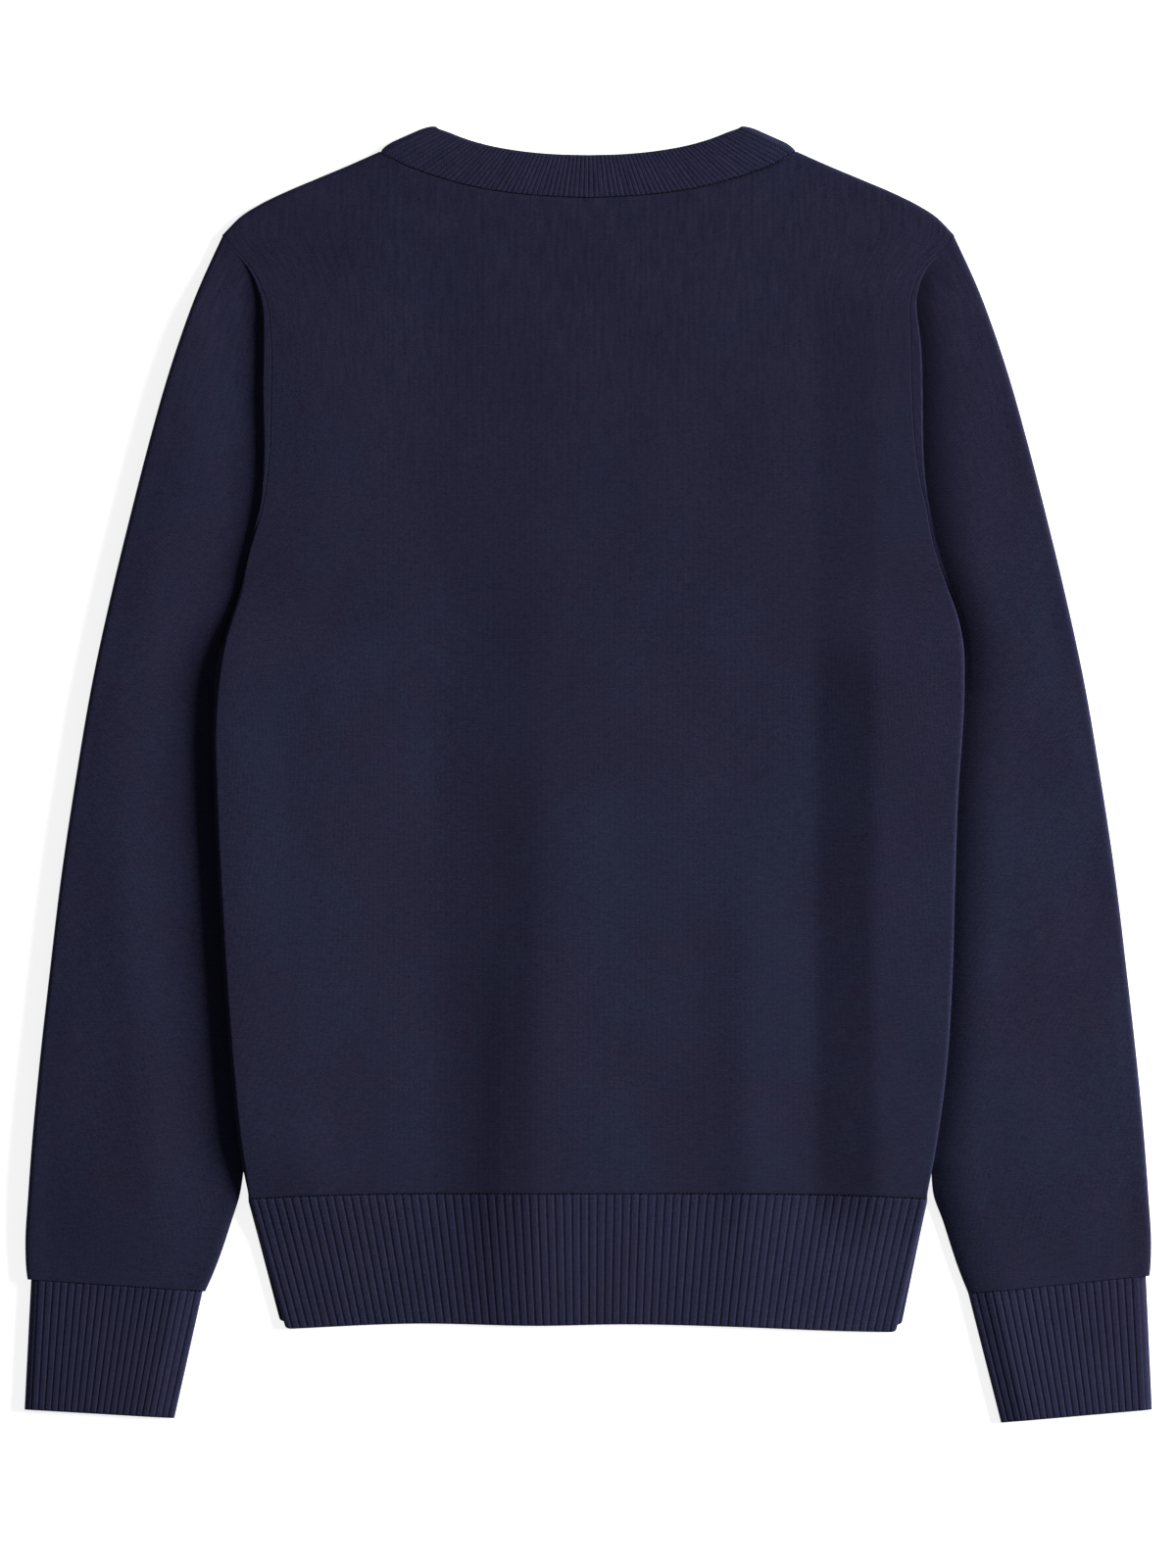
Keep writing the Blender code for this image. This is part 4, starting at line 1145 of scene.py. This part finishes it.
@dataclass
class Neckband(Piece):
    """One ribbed strip all round the neck: ribs up across the back, turned under at each
    shoulder, and down both sides of the V with its outside against the surface."""

    ribs: int = 80
    points_a_rib: int = 8
    v_ribs: int = 80
    points_a_v_rib: int = 5
    cut: Pair = (0.024, 0.72)
    area: float = 0.0168
    width: float = 24.0
    rib_raise: float = 0.24
    corner: float = 7.0
    rows: int = 21

    def build(self) -> None:
        """Makes the band as a ring of stations, each a straight line from seam to edge."""
        lay = self.lay
        v = fine_ends(self.rows, (0.012, 0.035, 0.06, 0.1))[:, None, None]
        u = np.linspace(-1.0, 1.0, self.ribs * self.points_a_rib + 1)
        edge_x = lay.neck_edge_line["x"][-1]
        seam = stack(u * lay.neck_x, lay.neck_seam(u * lay.neck_x), 0.0)
        free = stack(u * edge_x, through(np.abs(u) * edge_x, lay.neck_edge_line, "x", "y"), 0.0)
        fold = seam[-1] - free[-1]
        out = np.array([-fold[1], fold[0], 0.0]) / np.linalg.norm(fold)
        angle = np.linspace(0.0, np.pi, 13)[1:-1]
        t = np.linspace(0.0, 1.0, self.v_ribs * self.points_a_v_rib + 1)
        slope = (lay.neck_y - lay.v_point_y) / lay.neck_x
        low = lay.v_point_y + self.width * np.hypot(1.0, slope)
        seam_v = stack(lay.neck_x * (1 - t), lay.neck_y + (lay.v_point_y - lay.neck_y) * t, 0.0)
        free_v = stack(edge_x * (1 - t), free[-1, 1] + (low - free[-1, 1]) * t, 0.0)
        middle = lay.layer_step - lay.gap / 2.0
        mirror, up = np.array([-1.0, 1.0, 1.0]), np.array([0.0, 0.0, 1.0])
        back_rib = rib_form((u + 1.0) / 2.0 * self.ribs)
        v_rib = rib_form(t * self.v_ribs)
        span = self.width * v
        ends = (edge_drop(span, 0.8, 0.35) + edge_drop(self.width - span, 1.6, 1.2))[..., 0]
        crown = 0.35 * np.sin(np.pi * v[..., 0])
        inward = np.array([-out[0], -out[1], 0.0]) * (
            edge_drop(span, self.corner, 2.6) + edge_drop(self.width - span, self.corner, 1.2))
        bulge = (1.0 - 0.5 * edge_drop(span, self.corner, 1.0)
                 - 0.9 * edge_drop(self.width - span, self.corner, 1.0))
        rings = []
        for radius, back_z, front_z, outside in (
                (middle, 2.0 * lay.wall + lay.gap, 0.0, 1.0),
                (lay.gap / 2.0, lay.layer_step, lay.wall, 0.0)):
            back = seam + (free - seam) * v
            near = rounded_step(np.abs(u), 0.9, 1.0)[None, :, None]
            back = back + near * inward * np.stack([np.sign(u), u ** 2, 0.0 * u], axis=-1)
            rise = outside * (self.rib_raise * (back_rib - 0.1) + crown - ends)
            back = back + up * (back_z + rise)[..., None]
            line = seam[-1] + (free[-1] - seam[-1]) * v
            turn = (line + inward + np.sin(angle)[None, :, None] * out * radius * bulge
                    + up * (middle + radius * np.cos(angle))[:, None])
            down = seam_v + (free_v - seam_v) * v
            sunk = outside * (0.35 * (1.0 - v_rib) + 0.4 * ends)
            down = down + up * (front_z + sunk)[..., None]
            down = down + inward * (1.0 - rounded_step(t, 0.0, 0.1))[None, :, None]
            rings.append(np.concatenate([back, turn, down, down[:, -2::-1] * mirror,
                                         turn[:, ::-1] * mirror], axis=1))
        steps = np.linalg.norm(np.diff(rings[0][0], axis=0), axis=1)
        along = np.concatenate([[0.0], np.cumsum(steps)])
        piece = wall_piece("neckband_rib", *rings, stack(along, span[..., 0]), closed=True)
        self.declare(piece, "neckband", RIB, "rib", self.cut, self.area, ["back", "floor"])
        pick = np.arange(self.points_a_rib // 2, u.size - 1, self.points_a_rib // 2)
        way = np.gradient(seam[:, :2], axis=0)[pick]
        way /= np.linalg.norm(way, axis=1)[:, None]
        self.link_row("neck", seam[pick], rings[0][2, pick, 2], way, (0.7, 0.34, 0.4), 0.45, 0.25)


# ---- studio ----

@dataclass(frozen=True)
class Studio:
    """Camera straight above, white table and soft light from the right.

    Lengths are in millimetres for the pixel, the lens and the sensor, otherwise in metres;
    angles are in degrees.
    """

    pixel: float = 0.55
    picture: Tuple[int, int] = (1200, 1600)
    middle_px: Pair = (600.3, 789.5)
    lens: float = 200.0
    sensor: float = 36.0
    key_power: float = 398.0
    key_height: float = 19.0
    key_turn: float = 12.0
    key_size: float = 2.0
    key_distance: float = 4.0
    sky: float = 0.115
    floor_glow: float = 0.8
    floor_half: float = 6.0
    floor_below: float = 0.0002

    def camera(self) -> None:
        """Puts the camera above the picture's middle, with +Y up in the picture."""
        x = (self.picture[0] / 2 - self.middle_px[0]) * self.pixel - OUTLINE_MIDDLE[0]
        y = (self.middle_px[1] - self.picture[1] / 2) * self.pixel - OUTLINE_MIDDLE[1]
        data = bpy.data.cameras.new("camera")
        data.lens, data.sensor_width = self.lens, self.sensor
        distance = self.picture[1] * self.pixel * MM * self.lens / self.sensor
        data.clip_start, data.clip_end = distance * 0.1, distance * 4.0
        eye = linked("camera", data)
        eye.location = (x * MM, y * MM, distance)
        bpy.context.scene.camera = eye

    def light(self) -> None:
        """A soft key from the right and a little from the neck's side, and a pale sky."""
        key = bpy.data.lights.new("key", "AREA")
        key.energy, key.size = self.key_power, self.key_size
        lamp = linked("key", key)
        tilt, turn = np.radians(90.0 - self.key_height), np.radians(self.key_turn)
        lamp.rotation_euler = (0.0, tilt, turn)
        lamp.location = self.key_distance * np.array(
            [np.sin(tilt) * np.cos(turn), np.sin(tilt) * np.sin(turn), np.cos(tilt)])
        world = bpy.data.worlds.new("sky")
        world.use_nodes = True
        sky = Graph(world.node_tree)
        sky.fill(sky.tree.nodes["Background"], {"Color": WHITE, "Strength": self.sky})
        bpy.context.scene.world = world

    def floor(self) -> None:
        """A lit white table, just under the cloth."""
        half, low = self.floor_half, -self.floor_below
        mesh = bpy.data.meshes.new("floor")
        mesh.from_pydata([(-half, -half, low), (half, -half, low), (half, half, low),
                          (-half, half, low)], [], [(0, 1, 2, 3)])
        made = bpy.data.materials.new("white_table")
        made.use_nodes = True
        table = Graph(made.node_tree)
        table.fill(table.tree.nodes["Principled BSDF"], {
            "Base Color": (0.93, 0.93, 0.93, 1.0), "Roughness": 0.9,
            "Emission Color": WHITE, "Emission Strength": self.floor_glow})
        mesh.materials.append(made)
        linked("floor", mesh)

    def build(self) -> None:
        """Sets up the picture."""
        self.camera()
        self.light()
        self.floor()
        bpy.context.scene.view_settings.view_transform = "Standard"


def main() -> None:
    """Builds the studio and the sweater, piece by piece."""
    logging.basicConfig(level=logging.INFO, format="%(name)s: %(message)s")
    Studio().build()
    lay, effects = Lay(), Effects()
    BodyPanels(lay, effects).build()
    HemBands(lay, effects).build()
    Sleeve(lay, effects, Side.LEFT).build()
    Sleeve(lay, effects, Side.RIGHT, cuff_tilt=10.1, cuff_y=-281.5, valley_lip=(140.0, 190.0),
           valley_fall=(5.4, 6.3), valley_high=(5.6, 26.0), valley_low=(-0.4, 26.0),
           steep=0.9).build()
    Cuff(lay, effects, Side.LEFT).build()
    Cuff(lay, effects, Side.RIGHT, seam_out=(312.8, -281.5), seam_in=(213.2, -291.6),
         end_out=(316.2, -356.6), end_in=(231.6, -364.0)).build()
    Neckband(lay, effects).build()


if __name__ == "__main__":
    main()
